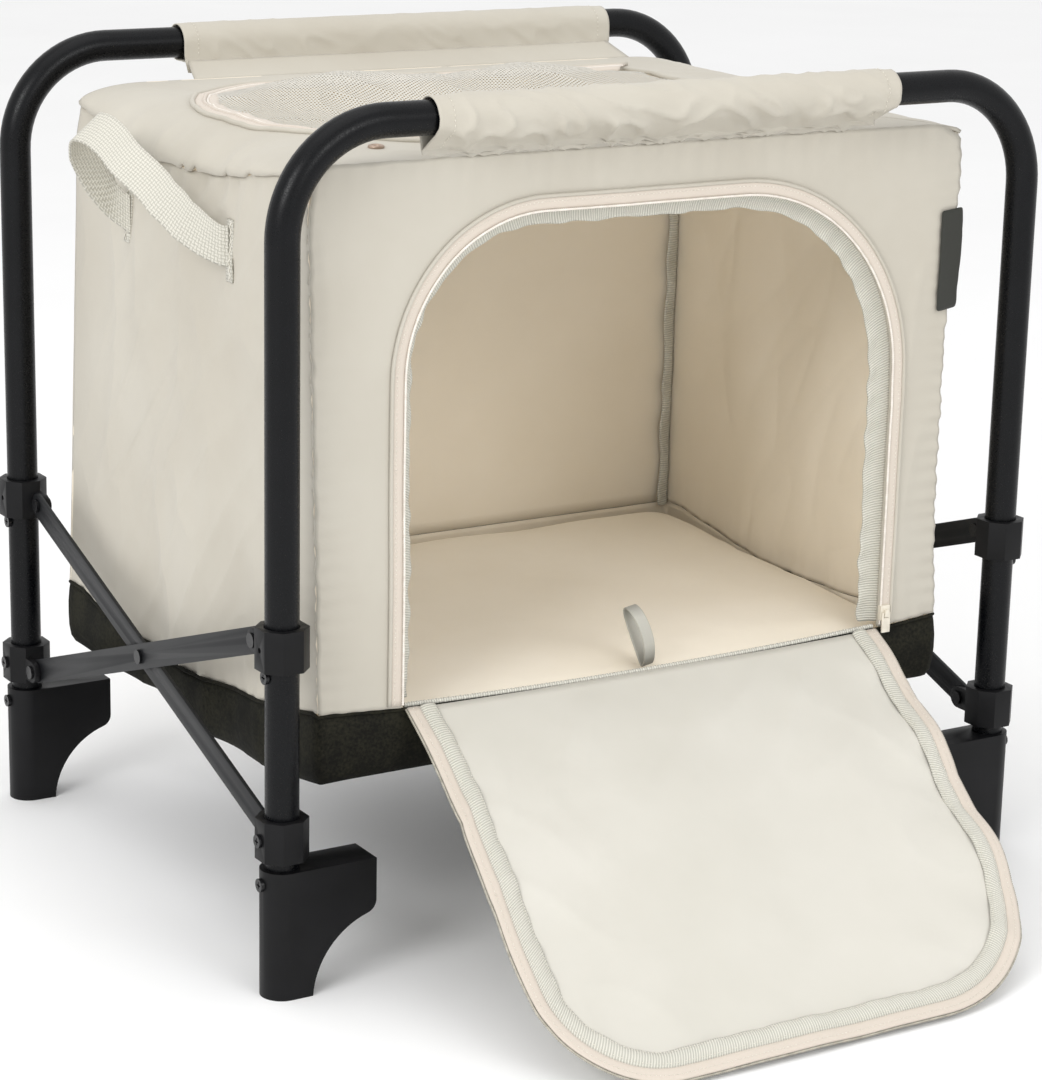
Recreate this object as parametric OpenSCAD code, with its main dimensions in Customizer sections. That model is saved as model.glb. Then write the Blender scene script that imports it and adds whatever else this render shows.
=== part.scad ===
// Raised soft cabin hung between two folding tube hoops.
// X runs across the doorway, Y from the door to the back, Z up.
// The origin is on the floor, in the middle of the whole object.

/* [Frame] */
// Distance between the legs of a hoop, centre to centre
leg_span = 652; // [560:1:760]
// Distance between the two hoops when the stand is open, centre to centre
hoop_gap = 474; // [420:1:520]
// Height of the top bars' centre above the floor
bar_height = 633; // [600:1:680]
// Outer diameter of the steel tube
tube_d = 25; // [22:0.5:28]
// Wall thickness of the steel tube
tube_wall = 1.5; // [1:0.1:2.5]
// Radius of the hoop's bends, on the tube's centre line
bend_r = 80; // [60:1:100]

/* [Scissor braces] */
// Width of a flat brace bar
brace_w = 20; // [16:1:24]
// Thickness of a flat brace bar
brace_t = 3; // [2:0.5:4]
// Height of the fixed collars' centre
collar_low_z = 121; // [115:1:135]
// Height of the sliding collars' centre when the stand is open
collar_high_z = 264; // [250:1:300]
// Distance from a leg's centre to the brace pivot beside it
pivot_reach = 30; // [28:1:36]
// Width of a collar across its flats
collar_w = 36; // [33:1:40]
// Height of a collar
collar_h = 31; // [26:1:36]

/* [Feet] */
// Height of a foot
foot_h = 98; // [80:1:104]
// How far a foot's wing reaches inwards from the leg's centre
foot_wing = 69; // [50:1:80]

/* [Cabin] */
// Outer width of the cabin
cabin_w = 580; // [540:2:600]
// Height of the cabin's underside
cabin_low_z = 143; // [130:1:160]
// Height of the cabin's roof
cabin_high_z = 602; // [590:1:606]
// Height of the seam where the dark base band ends
band_z = 198; // [190:1:210]
// Distance from the front hoop's centre to the cabin's front face
cabin_front = 18; // [16:1:24]
// Distance from the rear hoop's centre to the cabin's back face
cabin_back = 44; // [30:1:60]
// Thickness of the cabin's padded cloth walls
wall_t = 4; // [3:0.5:5]

/* [Doorway] */
// Width of the doorway at its zip
doorway_w = 440; // [380:2:460]
// Height of the doorway at its zip
doorway_h = 360; // [300:2:370]
// Radius of the arch's left corner
doorway_left_r = 115; // [80:1:150]
// Radius of the arch's right corner, which is the rounder one
doorway_right_r = 150; // [100:1:170]
// How far the open door leans down from level, in degrees
door_lean = 33.3; // [30:0.1:33.4]

/* [Roof window] */
// Length of the mesh window along X
window_w = 440; // [360:2:460]
// Width of the mesh window along Y
window_d = 292; // [240:2:300]
// Radius of the window's rounded end
window_r = 120; // [80:1:140]

/* [Handles] */
// Distance between the two sewn ends of a carrying handle
handle_span = 180; // [150:2:200]
// Width of the handle webbing
webbing_w = 30; // [25:1:32]
// How far a handle stands out from the wall
handle_reach = 84; // [60:1:95]

/* [Hidden] */
$fn = 48;
LEFT = -1;
RIGHT = 1;
FRONT = 1;
REAR = -1;
OUTER = 1;
INNER = -1;

// fits and gaps
snug = 0.1;
running = 0.3;
slip = 0.2;

// frame
tube_r = tube_d / 2;
leg_x = leg_span / 2;
bend_z = bar_height - bend_r;
pin_drop = 2;
foot_floor = 3;

// places along Y: the door's tip is in front, the rear hoop's tube behind
door_gap = 5;
door_t = 4;
door_root = 4.2;
door_tip_gap = 2;
door_l = doorway_h - door_gap - door_tip_gap;
hinge_z = band_z - 1.5;
zip_t = 1.5;
door_out = door_l * cos(door_lean) + (door_t / 2 + zip_t + snug) * sin(door_lean);
sleeve_t = 1.5;
sleeve_seam_l = 2.5 * sleeve_t;
strip_start = 0.93;
front_reach = door_out - cabin_front - wall_t / 2;
rear_reach = collar_w / 2;
front_y = (front_reach - hoop_gap - rear_reach) / 2;
rear_y = front_y + hoop_gap;
face_y = front_y + cabin_front;
back_y = rear_y - cabin_back;
cabin_d = back_y - face_y;
mid_y = (face_y + back_y) / 2;
hinge_y = face_y + wall_t / 2;

// braces and rivets
brace_offset = 0.15;
ear_t = 5;
ear_r = 9;
ear_from = brace_offset + brace_t + slip;
rivet_r = 3;
rivet_head_r = 5.6;
rivet_head_h = 2.3;
brace_run = hoop_gap - 2 * pivot_reach;
brace_rise = collar_high_z - collar_low_z;
brace_angle = atan(brace_rise / brace_run);
brace_l = sqrt(brace_run * brace_run + brace_rise * brace_rise);

// collars and screws
collar_chamfer = 10;
screw_r = 2;
screw_head_r = 5;
screw_head_h = 2.6;
screw_in = 6;
screw_bite = 0.5;
slot_l = 5.2;
slot_w = 1.2;
slot_h = 1.2;
stop_z = collar_high_z - collar_h / 2 - screw_head_r - slip;
foot_screw_z = 87;

// feet
foot_half = 16.5;
foot_curve_r = 63;
foot_curve_x = -80;
foot_curve_z = -4;
foot_tip_r = 10;

// cloth
floor_top = 189;
board_t = 5;
board_inset = 24;
pad_gap = 2;
tub_corner = 20;
zip_w = 10;
binding_w = 12;
binding_t = 2.5;
binding_root = 8;
lip_step = zip_t + 2 * slip;
lip_from = 3;
lip_to = 9;
seam_r = 2;
piping_r = 2;
window_gap = 1;
window_shift = -30;
window_end = window_shift + window_w / 2;
window_clear = 10;
mesh_t = 3;
mesh_tape_t = 2;
mesh_tape_w = 9;
roof_seam_z = cabin_high_z + slip;
rear_seam_y = 16;
rear_seam_drop = 14;
strip_t = 3;
front_sleeve_l = 402;
front_sleeve_shift = -11;
rear_sleeve_l = 414;
rear_sleeve_shift = 25;
eyelet_x = -217;
eyelet_in = 49;
eyelet_r = 6;
eyelet_h = 2;
loop_w = 12;
loop_r = 13;
loop_t = 1.5;
loop_h = 50;
loop_x = 8;
slider_x = doorway_w / 2 + 3;
slider_y = face_y - zip_t - snug - running;
slider_z = band_z + 12;
pull_y = -4.7;
pull_r = 0.6;
pull_slot = 4.6;
pull_slot_low = 4;
pull_slot_h = 10;
tag_w = 20;
tag_in = 2;
tag_t = 1.5;
tag_h = 80;
tag_z = 453;
strap_t = 2;
handle_z = 525;
handle_lean = 50;
handle_y = mid_y + 5;

// colours
black = [0.06, 0.06, 0.065];
grey = [0.16, 0.16, 0.165];
cream = [0.87, 0.85, 0.79];
olive = [0.13, 0.13, 0.09];
tape = [0.92, 0.88, 0.84];
ribbon = [0.86, 0.87, 0.83];
netting = [0.78, 0.76, 0.72];
webbing = [0.85, 0.85, 0.8];

// ---------- placing ----------

// Local X points out of the cabin and local Y towards the other hoop.
module at_leg(side, hoop, z) {
    translate([side * leg_x, hoop == FRONT ? front_y : rear_y, z])
        mirror([side == LEFT ? 1 : 0, 0, 0])
            mirror([0, hoop == REAR ? 1 : 0, 0])
                children();
}

module along_x(r, from, to) {
    translate([from, 0, 0]) rotate([0, 90, 0]) cylinder(h = to - from, r = r);
}

function arc(cx, cy, r, from, to, steps = 10) =
    [for (i = [0 : steps]) let (a = from + (to - from) * i / steps) [cx + r * cos(a), cy + r * sin(a)]];

// Arch standing on Y = 0, drawn in by inset: straight sides and two rounded upper corners.
module arch(w, h, inset) {
    half = w / 2 - inset;
    top = h - inset;
    left_r = doorway_left_r - inset;
    right_r = doorway_right_r - inset;
    polygon(concat(
        [[-half, 0]],
        arc(-half + left_r, top - left_r, left_r, 180, 90, 16),
        arc(half - right_r, top - right_r, right_r, 90, 0, 16),
        [[half, 0]]));
}

// Band that follows an arch, from inset a to inset b.
module arch_band(w, h, a, b) {
    difference() {
        arch(w, h, a);
        translate([0, -1]) arch(w, h + 1, b);
    }
}

// ---------- hoops ----------

module hoop_solid(r, low) {
    for (side = [LEFT, RIGHT]) {
        translate([side * leg_x, 0, low]) cylinder(h = bend_z - low, r = r);
        translate([side * (leg_x - bend_r), 0, bend_z])
            rotate([90, 0, 0])
                rotate_extrude(angle = 90, start = side == RIGHT ? 0 : 90)
                    translate([bend_r, 0]) circle(r);
    }
    translate([0, 0, bar_height]) along_x(r, bend_r - leg_x, leg_x - bend_r);
}

module hoop(hoop_side) {
    color(black)
    difference() {
        translate([0, hoop_side == FRONT ? front_y : rear_y, 0])
            difference() {
                hoop_solid(tube_r, foot_floor);
                hoop_solid(tube_r - tube_wall, foot_floor - 1);
            }
        for (side = [LEFT, RIGHT], z = [foot_screw_z, collar_low_z, stop_z])
            at_leg(side, hoop_side, z) along_x(screw_r + snug, 0, tube_r + 1);
    }
}

// ---------- feet ----------

module foot_profile() {
    tip_x = -foot_wing + foot_tip_r;
    meet = asin((tip_x - foot_curve_x) / (foot_curve_r + foot_tip_r));
    tip_z = foot_curve_z + (foot_curve_r + foot_tip_r) * cos(meet);
    toe = asin(-foot_curve_z / foot_curve_r);
    polygon(concat(
        [[foot_half, 0], [foot_half, foot_h], [-foot_wing, foot_h]],
        arc(tip_x, tip_z, foot_tip_r, 180, 270 - meet, 8),
        arc(foot_curve_x, foot_curve_z, foot_curve_r, 90 - meet, toe, 16)));
}

module foot(side, hoop_side) {
    color(grey)
    at_leg(side, hoop_side, 0)
        difference() {
            intersection() {
                union() {
                    cylinder(h = foot_h, r = foot_half);
                    translate([-foot_wing, -foot_half, 0])
                        cube([foot_wing, 2 * foot_half, foot_h]);
                }
                rotate([90, 0, 0])
                    linear_extrude(2 * foot_half + 2, center = true) foot_profile();
            }
            translate([0, 0, foot_floor]) cylinder(h = foot_h, r = tube_r + snug);
            translate([0, 0, foot_screw_z]) along_x(screw_r + snug, 0, foot_half + 1);
        }
}

// ---------- collars, screws and rivets ----------

module collar_block() {
    half = collar_w / 2;
    flat = half - collar_chamfer;
    linear_extrude(collar_h, center = true)
        polygon([
            [flat, -half], [half, -flat], [half, flat], [flat, half],
            [-flat, half], [-half, flat], [-half, -flat], [-flat, -half]]);
}

module ear(outward) {
    span = pivot_reach - tube_r;
    translate([outward == OUTER ? ear_from : -ear_from - ear_t, 0, -pin_drop]) {
        translate([0, tube_r, -ear_r]) cube([ear_t, span, 2 * ear_r]);
        translate([0, pivot_reach, 0]) along_x(ear_r, 0, ear_t);
    }
}

module collar(side, hoop_side, z, outward, bore_gap) {
    color(grey)
    at_leg(side, hoop_side, z)
        difference() {
            union() {
                collar_block();
                ear(outward);
            }
            cylinder(h = collar_h + 2, r = tube_r + bore_gap, center = true);
            translate([0, pivot_reach, -pin_drop])
                along_x(rivet_r + snug, -collar_w, collar_w);
            along_x(screw_r + snug, 0, collar_w / 2 + 1);
        }
}

module lower_collar(side, hoop_side) {
    collar(side, hoop_side, collar_low_z, hoop_side == REAR ? OUTER : INNER, snug);
}

module upper_collar(side, hoop_side) {
    collar(side, hoop_side, collar_high_z, hoop_side == FRONT ? OUTER : INNER, running);
}

// Pan-head screw along local X; its head sits on a surface at the distance seat.
module screw(seat) {
    along_x(screw_r, tube_r - screw_in, seat + screw_bite);
    translate([seat, 0, 0])
        rotate([0, 90, 0])
            difference() {
                cylinder(h = screw_head_h, r = screw_head_r);
                for (turn = [0, 90])
                    rotate(turn)
                        translate([0, 0, screw_head_h])
                            cube([slot_l, slot_w, 2 * slot_h], center = true);
            }
}

module frame_screws(hoop_side) {
    color(black)
    for (side = [LEFT, RIGHT]) {
        at_leg(side, hoop_side, foot_screw_z) screw(foot_half);
        at_leg(side, hoop_side, collar_low_z) screw(collar_w / 2);
        at_leg(side, hoop_side, stop_z) screw(tube_r);
    }
}

// Rivet through an ear and the brace bar beside it.
module rivet(outward) {
    far = ear_from + ear_t;
    near = brace_offset;
    translate([0, pivot_reach, -pin_drop])
        mirror([outward == OUTER ? 0 : 1, 0, 0]) {
            along_x(rivet_r, -near, far);
            along_x(rivet_head_r, far, far + rivet_head_h);
            along_x(rivet_head_r, -near - rivet_head_h, -near);
        }
}

module pivot_rivets(hoop_side) {
    color(black)
    for (side = [LEFT, RIGHT])
        at_leg(side, hoop_side, collar_low_z) rivet(hoop_side == REAR ? OUTER : INNER);
}

module upper_rivet(side, hoop_side) {
    color(black)
        at_leg(side, hoop_side, collar_high_z) rivet(hoop_side == FRONT ? OUTER : INNER);
}

// ---------- braces ----------

// The outer bar climbs from the rear fixed collar to the front sliding one.
module brace(side, outward) {
    rise = outward == OUTER ? -brace_angle : brace_angle;
    color(grey)
    translate([side * leg_x, (front_y + rear_y) / 2, (collar_low_z + collar_high_z) / 2 - pin_drop])
        mirror([side == LEFT ? 1 : 0, 0, 0])
            rotate([rise, 0, 0])
                translate([outward == OUTER ? brace_offset : -brace_offset - brace_t, 0, 0])
                    difference() {
                        union() {
                            translate([0, -brace_l / 2, -brace_w / 2]) cube([brace_t, brace_l, brace_w]);
                            for (end = [-1, 1])
                                translate([0, end * brace_l / 2, 0]) along_x(brace_w / 2, 0, brace_t);
                        }
                        for (hole = [-1, 0, 1])
                            translate([0, hole * brace_l / 2, 0])
                                along_x(rivet_r + (hole == 0 && outward == OUTER ? snug : running), -1, brace_t + 1);
                    }
}

module centre_rivet(side) {
    outer = brace_offset + brace_t;
    inner = -brace_offset - brace_t - running;
    color(black)
    translate([side * leg_x, (front_y + rear_y) / 2, (collar_low_z + collar_high_z) / 2 - pin_drop])
        mirror([side == LEFT ? 1 : 0, 0, 0]) {
            along_x(rivet_r, inner, outer);
            along_x(rivet_head_r, outer, outer + rivet_head_h);
            along_x(rivet_head_r, inner - rivet_head_h, inner);
        }
}

// ---------- cabin ----------

module upright(y, t) {
    translate([0, y + t, 0]) rotate([90, 0, 0]) linear_extrude(t) children();
}

module front_panel() {
    color(cream)
    upright(face_y, wall_t)
        difference() {
            translate([-cabin_w / 2, band_z]) square([cabin_w, cabin_high_z - wall_t - slip - band_z]);
            translate([0, band_z - 1]) arch(doorway_w, doorway_h + 1, 0);
        }
}

module back_panel() {
    color(cream)
    upright(back_y - wall_t, wall_t)
        translate([-cabin_w / 2, band_z]) square([cabin_w, cabin_high_z - wall_t - slip - band_z]);
}

module side_wall(side) {
    color(cream)
    translate([side == LEFT ? -cabin_w / 2 : cabin_w / 2 - wall_t, face_y + wall_t + slip, band_z])
        cube([wall_t, cabin_d - 2 * wall_t - 2 * slip, cabin_high_z - wall_t - slip - band_z]);
}

// Window outline on the roof: straight right end, rounded left end.
module window(inset) {
    r = window_r - inset;
    w = window_w - 2 * inset;
    d = window_d - 2 * inset;
    translate([window_shift, mid_y])
        polygon(concat(
            [[w / 2, -d / 2], [w / 2, d / 2]],
            arc(-w / 2 + r, d / 2 - r, r, 90, 180, 16),
            arc(-w / 2 + r, -d / 2 + r, r, 180, 270, 16)));
}

module roof_panel() {
    color(cream)
    translate([0, 0, cabin_high_z - wall_t])
        linear_extrude(wall_t)
            difference() {
                translate([-cabin_w / 2, face_y]) square([cabin_w, cabin_d]);
                window(0);
            }
}

// Band that follows the window's zipped sides; the right end is the flap's hinge.
module window_band(outer, inner) {
    difference() {
        window(outer);
        window(inner);
        translate([window_end - window_clear, face_y]) square([window_clear + 10, cabin_d]);
    }
}

module roof_piping() {
    color(tape)
    translate([0, 0, cabin_high_z + slip])
        linear_extrude(2 * piping_r) window_band(-2 * piping_r - 1, -1);
}

module roof_eyelet() {
    color(tape)
    translate([eyelet_x, face_y + eyelet_in, cabin_high_z + slip])
        difference() {
            cylinder(h = eyelet_h, r = eyelet_r);
            translate([0, 0, -1]) cylinder(h = eyelet_h + 2, r = eyelet_r / 2);
        }
}

// Tub outline seen from the front, with its lower corners cut off.
module tub_outline(w, low, high, corner) {
    polygon([
        [-w / 2, high], [-w / 2, low + corner], [-w / 2 + corner, low],
        [w / 2 - corner, low], [w / 2, low + corner], [w / 2, high]]);
}

module base_tub() {
    color(olive)
    difference() {
        upright(face_y, cabin_d)
            tub_outline(cabin_w, cabin_low_z, band_z - slip, tub_corner);
        upright(face_y + wall_t, cabin_d - 2 * wall_t)
            tub_outline(cabin_w - 2 * wall_t, cabin_low_z + wall_t, band_z + 1, tub_corner - wall_t / 2);
        translate([-doorway_w / 2, face_y - 1, hinge_z - seam_r - slip])
            cube([doorway_w, wall_t + 2, wall_t]);
    }
}

module base_board() {
    inset = wall_t + pad_gap;
    color(grey)
    translate([-cabin_w / 2 + board_inset, face_y + inset, cabin_low_z + wall_t + slip])
        cube([cabin_w - 2 * board_inset, cabin_d - 2 * inset, board_t]);
}

// Cushion that covers the tub's floor; its underside is stepped in above the tub's cut corners.
module floor_pad() {
    inset = wall_t + pad_gap;
    step_z = cabin_low_z + tub_corner;
    low = cabin_low_z + wall_t + board_t + 2 * slip;
    color(cream)
    union() {
        translate([-cabin_w / 2 + inset, face_y + inset, step_z])
            cube([cabin_w - 2 * inset, cabin_d - 2 * inset, floor_top - step_z]);
        translate([-cabin_w / 2 + board_inset, face_y + inset, low])
            cube([cabin_w - 2 * board_inset, cabin_d - 2 * inset, step_z - low + 1]);
    }
}

// Drop-shaped outline: a circle drawn out to a point.
function drop(r, point) =
    let (aim = atan2(point[1], point[0]), open = acos(r / norm(point)))
    concat([point], arc(0, 0, r, aim + open, aim + 360 - open, 24));

// Loop of cloth round a top bar, closed by a seam below it.
module sleeve_loop(seam) {
    inner_r = tube_r + running;
    difference() {
        polygon(drop(inner_r + sleeve_t, seam));
        polygon(drop(inner_r, seam * (1 - sleeve_seam_l / norm(seam))));
    }
}

module along_bar(y, length, shift) {
    translate([shift - length / 2, y, bar_height])
        rotate([90, 0, 90])
            linear_extrude(length) children();
}

module front_sleeve() {
    color(cream)
    along_bar(front_y, front_sleeve_l, front_sleeve_shift)
        sleeve_loop([cabin_front, roof_seam_z - bar_height]);
}

// The rear loop is shorter, and a strip runs from its seam down to the roof's edge.
module rear_sleeve() {
    seam = [-rear_seam_y, -rear_seam_drop];
    edge = [-cabin_back - 1, roof_seam_z - bar_height];
    start = seam * strip_start;
    side = [strip_t, 0] / 2;
    color(cream)
    along_bar(rear_y, rear_sleeve_l, rear_sleeve_shift) {
        sleeve_loop(seam);
        polygon([start, edge - side, edge + side, start + side]);
    }
}

module doorway_zip() {
    color(tape)
    upright(face_y - zip_t - snug, zip_t)
        translate([0, band_z]) arch_band(doorway_w, doorway_h, -zip_w, 1);
}

// Ribbon folded round the doorway's edge; its lip lies behind the closed door's zip.
module doorway_binding() {
    inside = face_y + wall_t + slip;
    color(ribbon)
    translate([0, 0, band_z + seam_r]) {
        upright(inside, lip_step + binding_t)
            arch_band(doorway_w, doorway_h - seam_r, -binding_root, lip_from + 1);
        upright(inside + lip_step, binding_t)
            arch_band(doorway_w, doorway_h - seam_r, lip_from, lip_to);
    }
}

module sill_seam() {
    color(ribbon)
    translate([0, hinge_y, hinge_z]) along_x(seam_r, -doorway_w / 2, doorway_w / 2);
}

// Elastic loop that stands on the sill, inside the doorway.
module sill_loop() {
    inner_r = loop_r - loop_t;
    color(ribbon)
    translate([loop_x - loop_w / 2, hinge_y + wall_t / 2 + slip + loop_r, floor_top + running])
        difference() {
            union() {
                translate([0, 0, loop_h - loop_r]) along_x(loop_r, 0, loop_w);
                translate([0, -loop_r, 0]) cube([loop_w, 2 * loop_r, loop_h - loop_r]);
            }
            translate([0, 0, loop_h - loop_r]) along_x(inner_r, -1, loop_w + 1);
            translate([-1, -inner_r, loop_t]) cube([loop_w + 2, 2 * inner_r, loop_h - loop_r - loop_t]);
        }
}

module side_tag() {
    color(olive)
    translate([cabin_w / 2 - tag_w - tag_in, face_y - tag_t - snug, tag_z]) cube([tag_w, tag_t, tag_h]);
}

// ---------- door ----------

// Open door, leaning down from the hinge line: local Y along the door, local Z on its underside.
module on_door() {
    translate([0, hinge_y, hinge_z])
        rotate([180 + door_lean, 0, 0])
            children();
}

module door_panel() {
    color(cream)
    on_door()
        translate([0, door_root, -door_t / 2])
            linear_extrude(door_t) arch(doorway_w, door_l - door_root + door_gap, door_gap);
}

module door_zip() {
    color(tape)
    on_door()
        translate([0, door_root, -door_t / 2 - zip_t - snug])
            linear_extrude(zip_t)
                arch_band(doorway_w, door_l - door_root + door_gap, door_gap, door_gap + zip_w);
}

module door_binding() {
    color(ribbon)
    on_door()
        translate([0, door_root, -door_t / 2 - binding_t - snug])
            linear_extrude(binding_t)
                arch_band(doorway_w, door_l - door_root + door_gap, door_gap + zip_w + slip,
                    door_gap + zip_w + binding_w);
}

// ---------- zip slider ----------

module zip_slider() {
    body = [9, 3.5, 12];
    bridge = [4, 3.5, 6];
    color(tape)
    translate([slider_x, slider_y, slider_z])
        difference() {
            union() {
                translate([-body[0] / 2, -body[1], -body[2] / 2]) cube(body);
                translate([-bridge[0] / 2, pull_y - bridge[1] / 2, -bridge[2] / 2]) cube(bridge);
            }
            translate([0, pull_y, 0]) along_x(pull_r + running, -bridge[0], bridge[0]);
        }
}

// Small tab that hangs from a cross pin through the slider's bridge.
module zip_pull() {
    tab = [8, 2 * pull_r, 16];
    color(tape)
    translate([slider_x, slider_y + pull_y, slider_z]) {
        difference() {
            translate([-tab[0] / 2, -pull_r, -tab[2]]) cube(tab);
            translate([-pull_slot / 2, -tab[1], -pull_slot_low]) cube([pull_slot, 2 * tab[1], pull_slot_h]);
        }
        along_x(pull_r, -tab[0] / 2, tab[0] / 2);
    }
}

// ---------- roof mesh ----------

module roof_mesh() {
    color(netting)
    translate([0, 0, cabin_high_z - mesh_t])
        linear_extrude(mesh_t) window(window_gap);
}

module roof_mesh_binding() {
    color(tape)
    translate([0, 0, cabin_high_z + slip])
        linear_extrude(mesh_tape_t) window_band(window_gap, mesh_tape_w);
}

// ---------- handles ----------

// Webbing loop seen from above: out from the rear seam, round, and back to the front seam.
module handle_outline() {
    half = handle_span / 2;
    inner = half - strap_t;
    difference() {
        polygon(concat([[-webbing_w, half]], arc(handle_reach - half, 0, half, 90, -90, 24), [[-webbing_w, -half]]));
        polygon(concat([[-webbing_w - 1, inner]],
            arc(handle_reach - half, 0, inner, 90, -90, 24), [[-webbing_w - 1, -inner]]));
    }
}

// The loop leans up and is cut off where it is sewn to the wall.
module handle(side) {
    color(webbing)
    translate([side * (cabin_w / 2 + slip), handle_y, handle_z])
        mirror([side == LEFT ? 1 : 0, 0, 0])
            intersection() {
                rotate([0, -handle_lean, 0])
                    translate([0, 0, -webbing_w / 2]) linear_extrude(webbing_w) handle_outline();
                translate([0, -handle_span, -handle_span]) cube(2 * handle_span);
            }
}

// ---------- nodes ----------

hoop(REAR);  // rear_hoop
foot(LEFT, REAR);  // rear_left_foot
foot(RIGHT, REAR);  // rear_right_foot
lower_collar(LEFT, REAR);  // rear_left_lower_collar
lower_collar(RIGHT, REAR);  // rear_right_lower_collar
frame_screws(REAR);  // rear_frame_screws
pivot_rivets(REAR);  // rear_pivot_rivets
back_panel();
rear_sleeve();
side_wall(LEFT);  // left_wall
side_wall(RIGHT);  // right_wall
roof_panel();
roof_piping();
roof_eyelet();
base_tub();
base_board();
floor_pad();
hoop(FRONT);  // front_hoop
foot(LEFT, FRONT);  // front_left_foot
foot(RIGHT, FRONT);  // front_right_foot
lower_collar(LEFT, FRONT);  // front_left_lower_collar
lower_collar(RIGHT, FRONT);  // front_right_lower_collar
frame_screws(FRONT);  // front_frame_screws
pivot_rivets(FRONT);  // front_pivot_rivets
front_panel();
front_sleeve();
doorway_zip();
doorway_binding();
sill_seam();
sill_loop();
side_tag();
door_panel();
door_zip();
door_binding();
zip_slider();
zip_pull();
roof_mesh();
roof_mesh_binding();
handle(LEFT);  // left_handle
handle(RIGHT);  // right_handle
brace(LEFT, OUTER);  // left_outer_brace
brace(LEFT, INNER);  // left_inner_brace
brace(RIGHT, OUTER);  // right_outer_brace
brace(RIGHT, INNER);  // right_inner_brace
centre_rivet(LEFT);  // left_centre_rivet
centre_rivet(RIGHT);  // right_centre_rivet
upper_collar(LEFT, REAR);  // rear_left_upper_collar
upper_collar(RIGHT, REAR);  // rear_right_upper_collar
upper_collar(LEFT, FRONT);  // front_left_upper_collar
upper_collar(RIGHT, FRONT);  // front_right_upper_collar
upper_rivet(LEFT, REAR);  // rear_left_upper_rivet
upper_rivet(RIGHT, REAR);  // rear_right_upper_rivet
upper_rivet(LEFT, FRONT);  // front_left_upper_rivet
upper_rivet(RIGHT, FRONT);  // front_right_upper_rivet
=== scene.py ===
"""Looks of a raised soft cabin on a folding stand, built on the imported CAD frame.

Lengths in this file are millimetres; mesh_object() turns them into metres.
X runs across the doorway, Y from the door to the back, Z up.
"""

import math

import bmesh
import bpy
from mathutils import Matrix, Vector, noise


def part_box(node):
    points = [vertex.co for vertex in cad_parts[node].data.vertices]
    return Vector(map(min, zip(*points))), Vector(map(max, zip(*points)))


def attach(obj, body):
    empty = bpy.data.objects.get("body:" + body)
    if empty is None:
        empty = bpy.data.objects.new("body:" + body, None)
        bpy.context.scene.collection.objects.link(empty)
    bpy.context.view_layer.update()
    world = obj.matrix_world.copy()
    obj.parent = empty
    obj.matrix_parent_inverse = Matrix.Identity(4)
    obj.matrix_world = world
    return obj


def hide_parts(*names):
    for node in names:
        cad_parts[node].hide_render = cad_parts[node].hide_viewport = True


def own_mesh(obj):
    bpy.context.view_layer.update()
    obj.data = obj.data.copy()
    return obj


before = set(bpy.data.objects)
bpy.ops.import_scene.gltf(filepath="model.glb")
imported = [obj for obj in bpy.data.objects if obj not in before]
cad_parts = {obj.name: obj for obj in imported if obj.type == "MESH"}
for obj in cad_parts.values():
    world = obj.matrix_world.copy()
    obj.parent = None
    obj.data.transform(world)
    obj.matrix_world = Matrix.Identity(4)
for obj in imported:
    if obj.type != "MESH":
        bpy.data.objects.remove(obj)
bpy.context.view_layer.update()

MM = 0.001
LEFT = -1
RIGHT = 1


def box_mm(node):
    low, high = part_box(node)
    return low / MM, high / MM


# ---------- places, from the frame ----------

FACE_Y = box_mm("front_panel")[0].y
BACK_Y = box_mm("back_panel")[1].y
DEPTH = BACK_Y - FACE_Y
FRONT_BAR_Y = sum(v.y for v in box_mm("front_hoop")) / 2
REAR_BAR_Y = sum(v.y for v in box_mm("rear_hoop")) / 2
TUBE_R = (box_mm("front_hoop")[1].y - box_mm("front_hoop")[0].y) / 2
BAR_Z = box_mm("front_hoop")[1].z - TUBE_R
ROOF_Z = box_mm("roof_panel")[1].z
BAND_Z = box_mm("front_panel")[0].z
TUB_LOW = box_mm("base_tub")[0].z
HINGE_Y = sum(v.y for v in box_mm("sill_seam")) / 2
HINGE_Z = sum(v.z for v in box_mm("sill_seam")) / 2

# the doorway's arch and the door that fills it
ARCH_HALF = 220
ARCH_TOP = 360
ARCH_LEFT_R = 115
ARCH_RIGHT_R = 150
DOOR_GAP = 5
DOOR_ROOT = 4.2
DOOR_LENGTH = 350
DOOR_LEAN = math.radians(33.3)

# the roof window
WINDOW_SHIFT = -30
WINDOW_HALF_X = 220
WINDOW_HALF_Y = 146
WINDOW_R = 120
MID_Y = (FACE_Y + BACK_Y) / 2

WALL_T = 4

# ---------- mesh helpers ----------


def mesh_object(name, points, faces, material, uvs=None, smooth=True):
    """A mesh object from points in millimetres; uvs are given per point, in metres."""
    mesh = bpy.data.meshes.new(name)
    mesh.from_pydata([Vector(p) * MM for p in points], [], faces)
    if uvs:
        layer = mesh.uv_layers.new(name="cloth")
        for loop in mesh.loops:
            layer.data[loop.index].uv = uvs[loop.vertex_index]
    mesh.materials.append(material)
    mesh.polygons.foreach_set("use_smooth", [smooth] * len(mesh.polygons))
    mesh.update()
    obj = bpy.data.objects.new(name, mesh)
    bpy.context.scene.collection.objects.link(obj)
    return obj


def grid_faces(rows, columns, closed=False, start=0):
    """Quads of a grid; closed joins each row's end to its start."""
    faces = []
    last = columns if closed else columns - 1
    for i in range(rows - 1):
        for j in range(last):
            k = (j + 1) % columns
            a = start + i * columns
            faces.append((a + j, a + k, a + columns + k, a + columns + j))
    return faces


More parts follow.
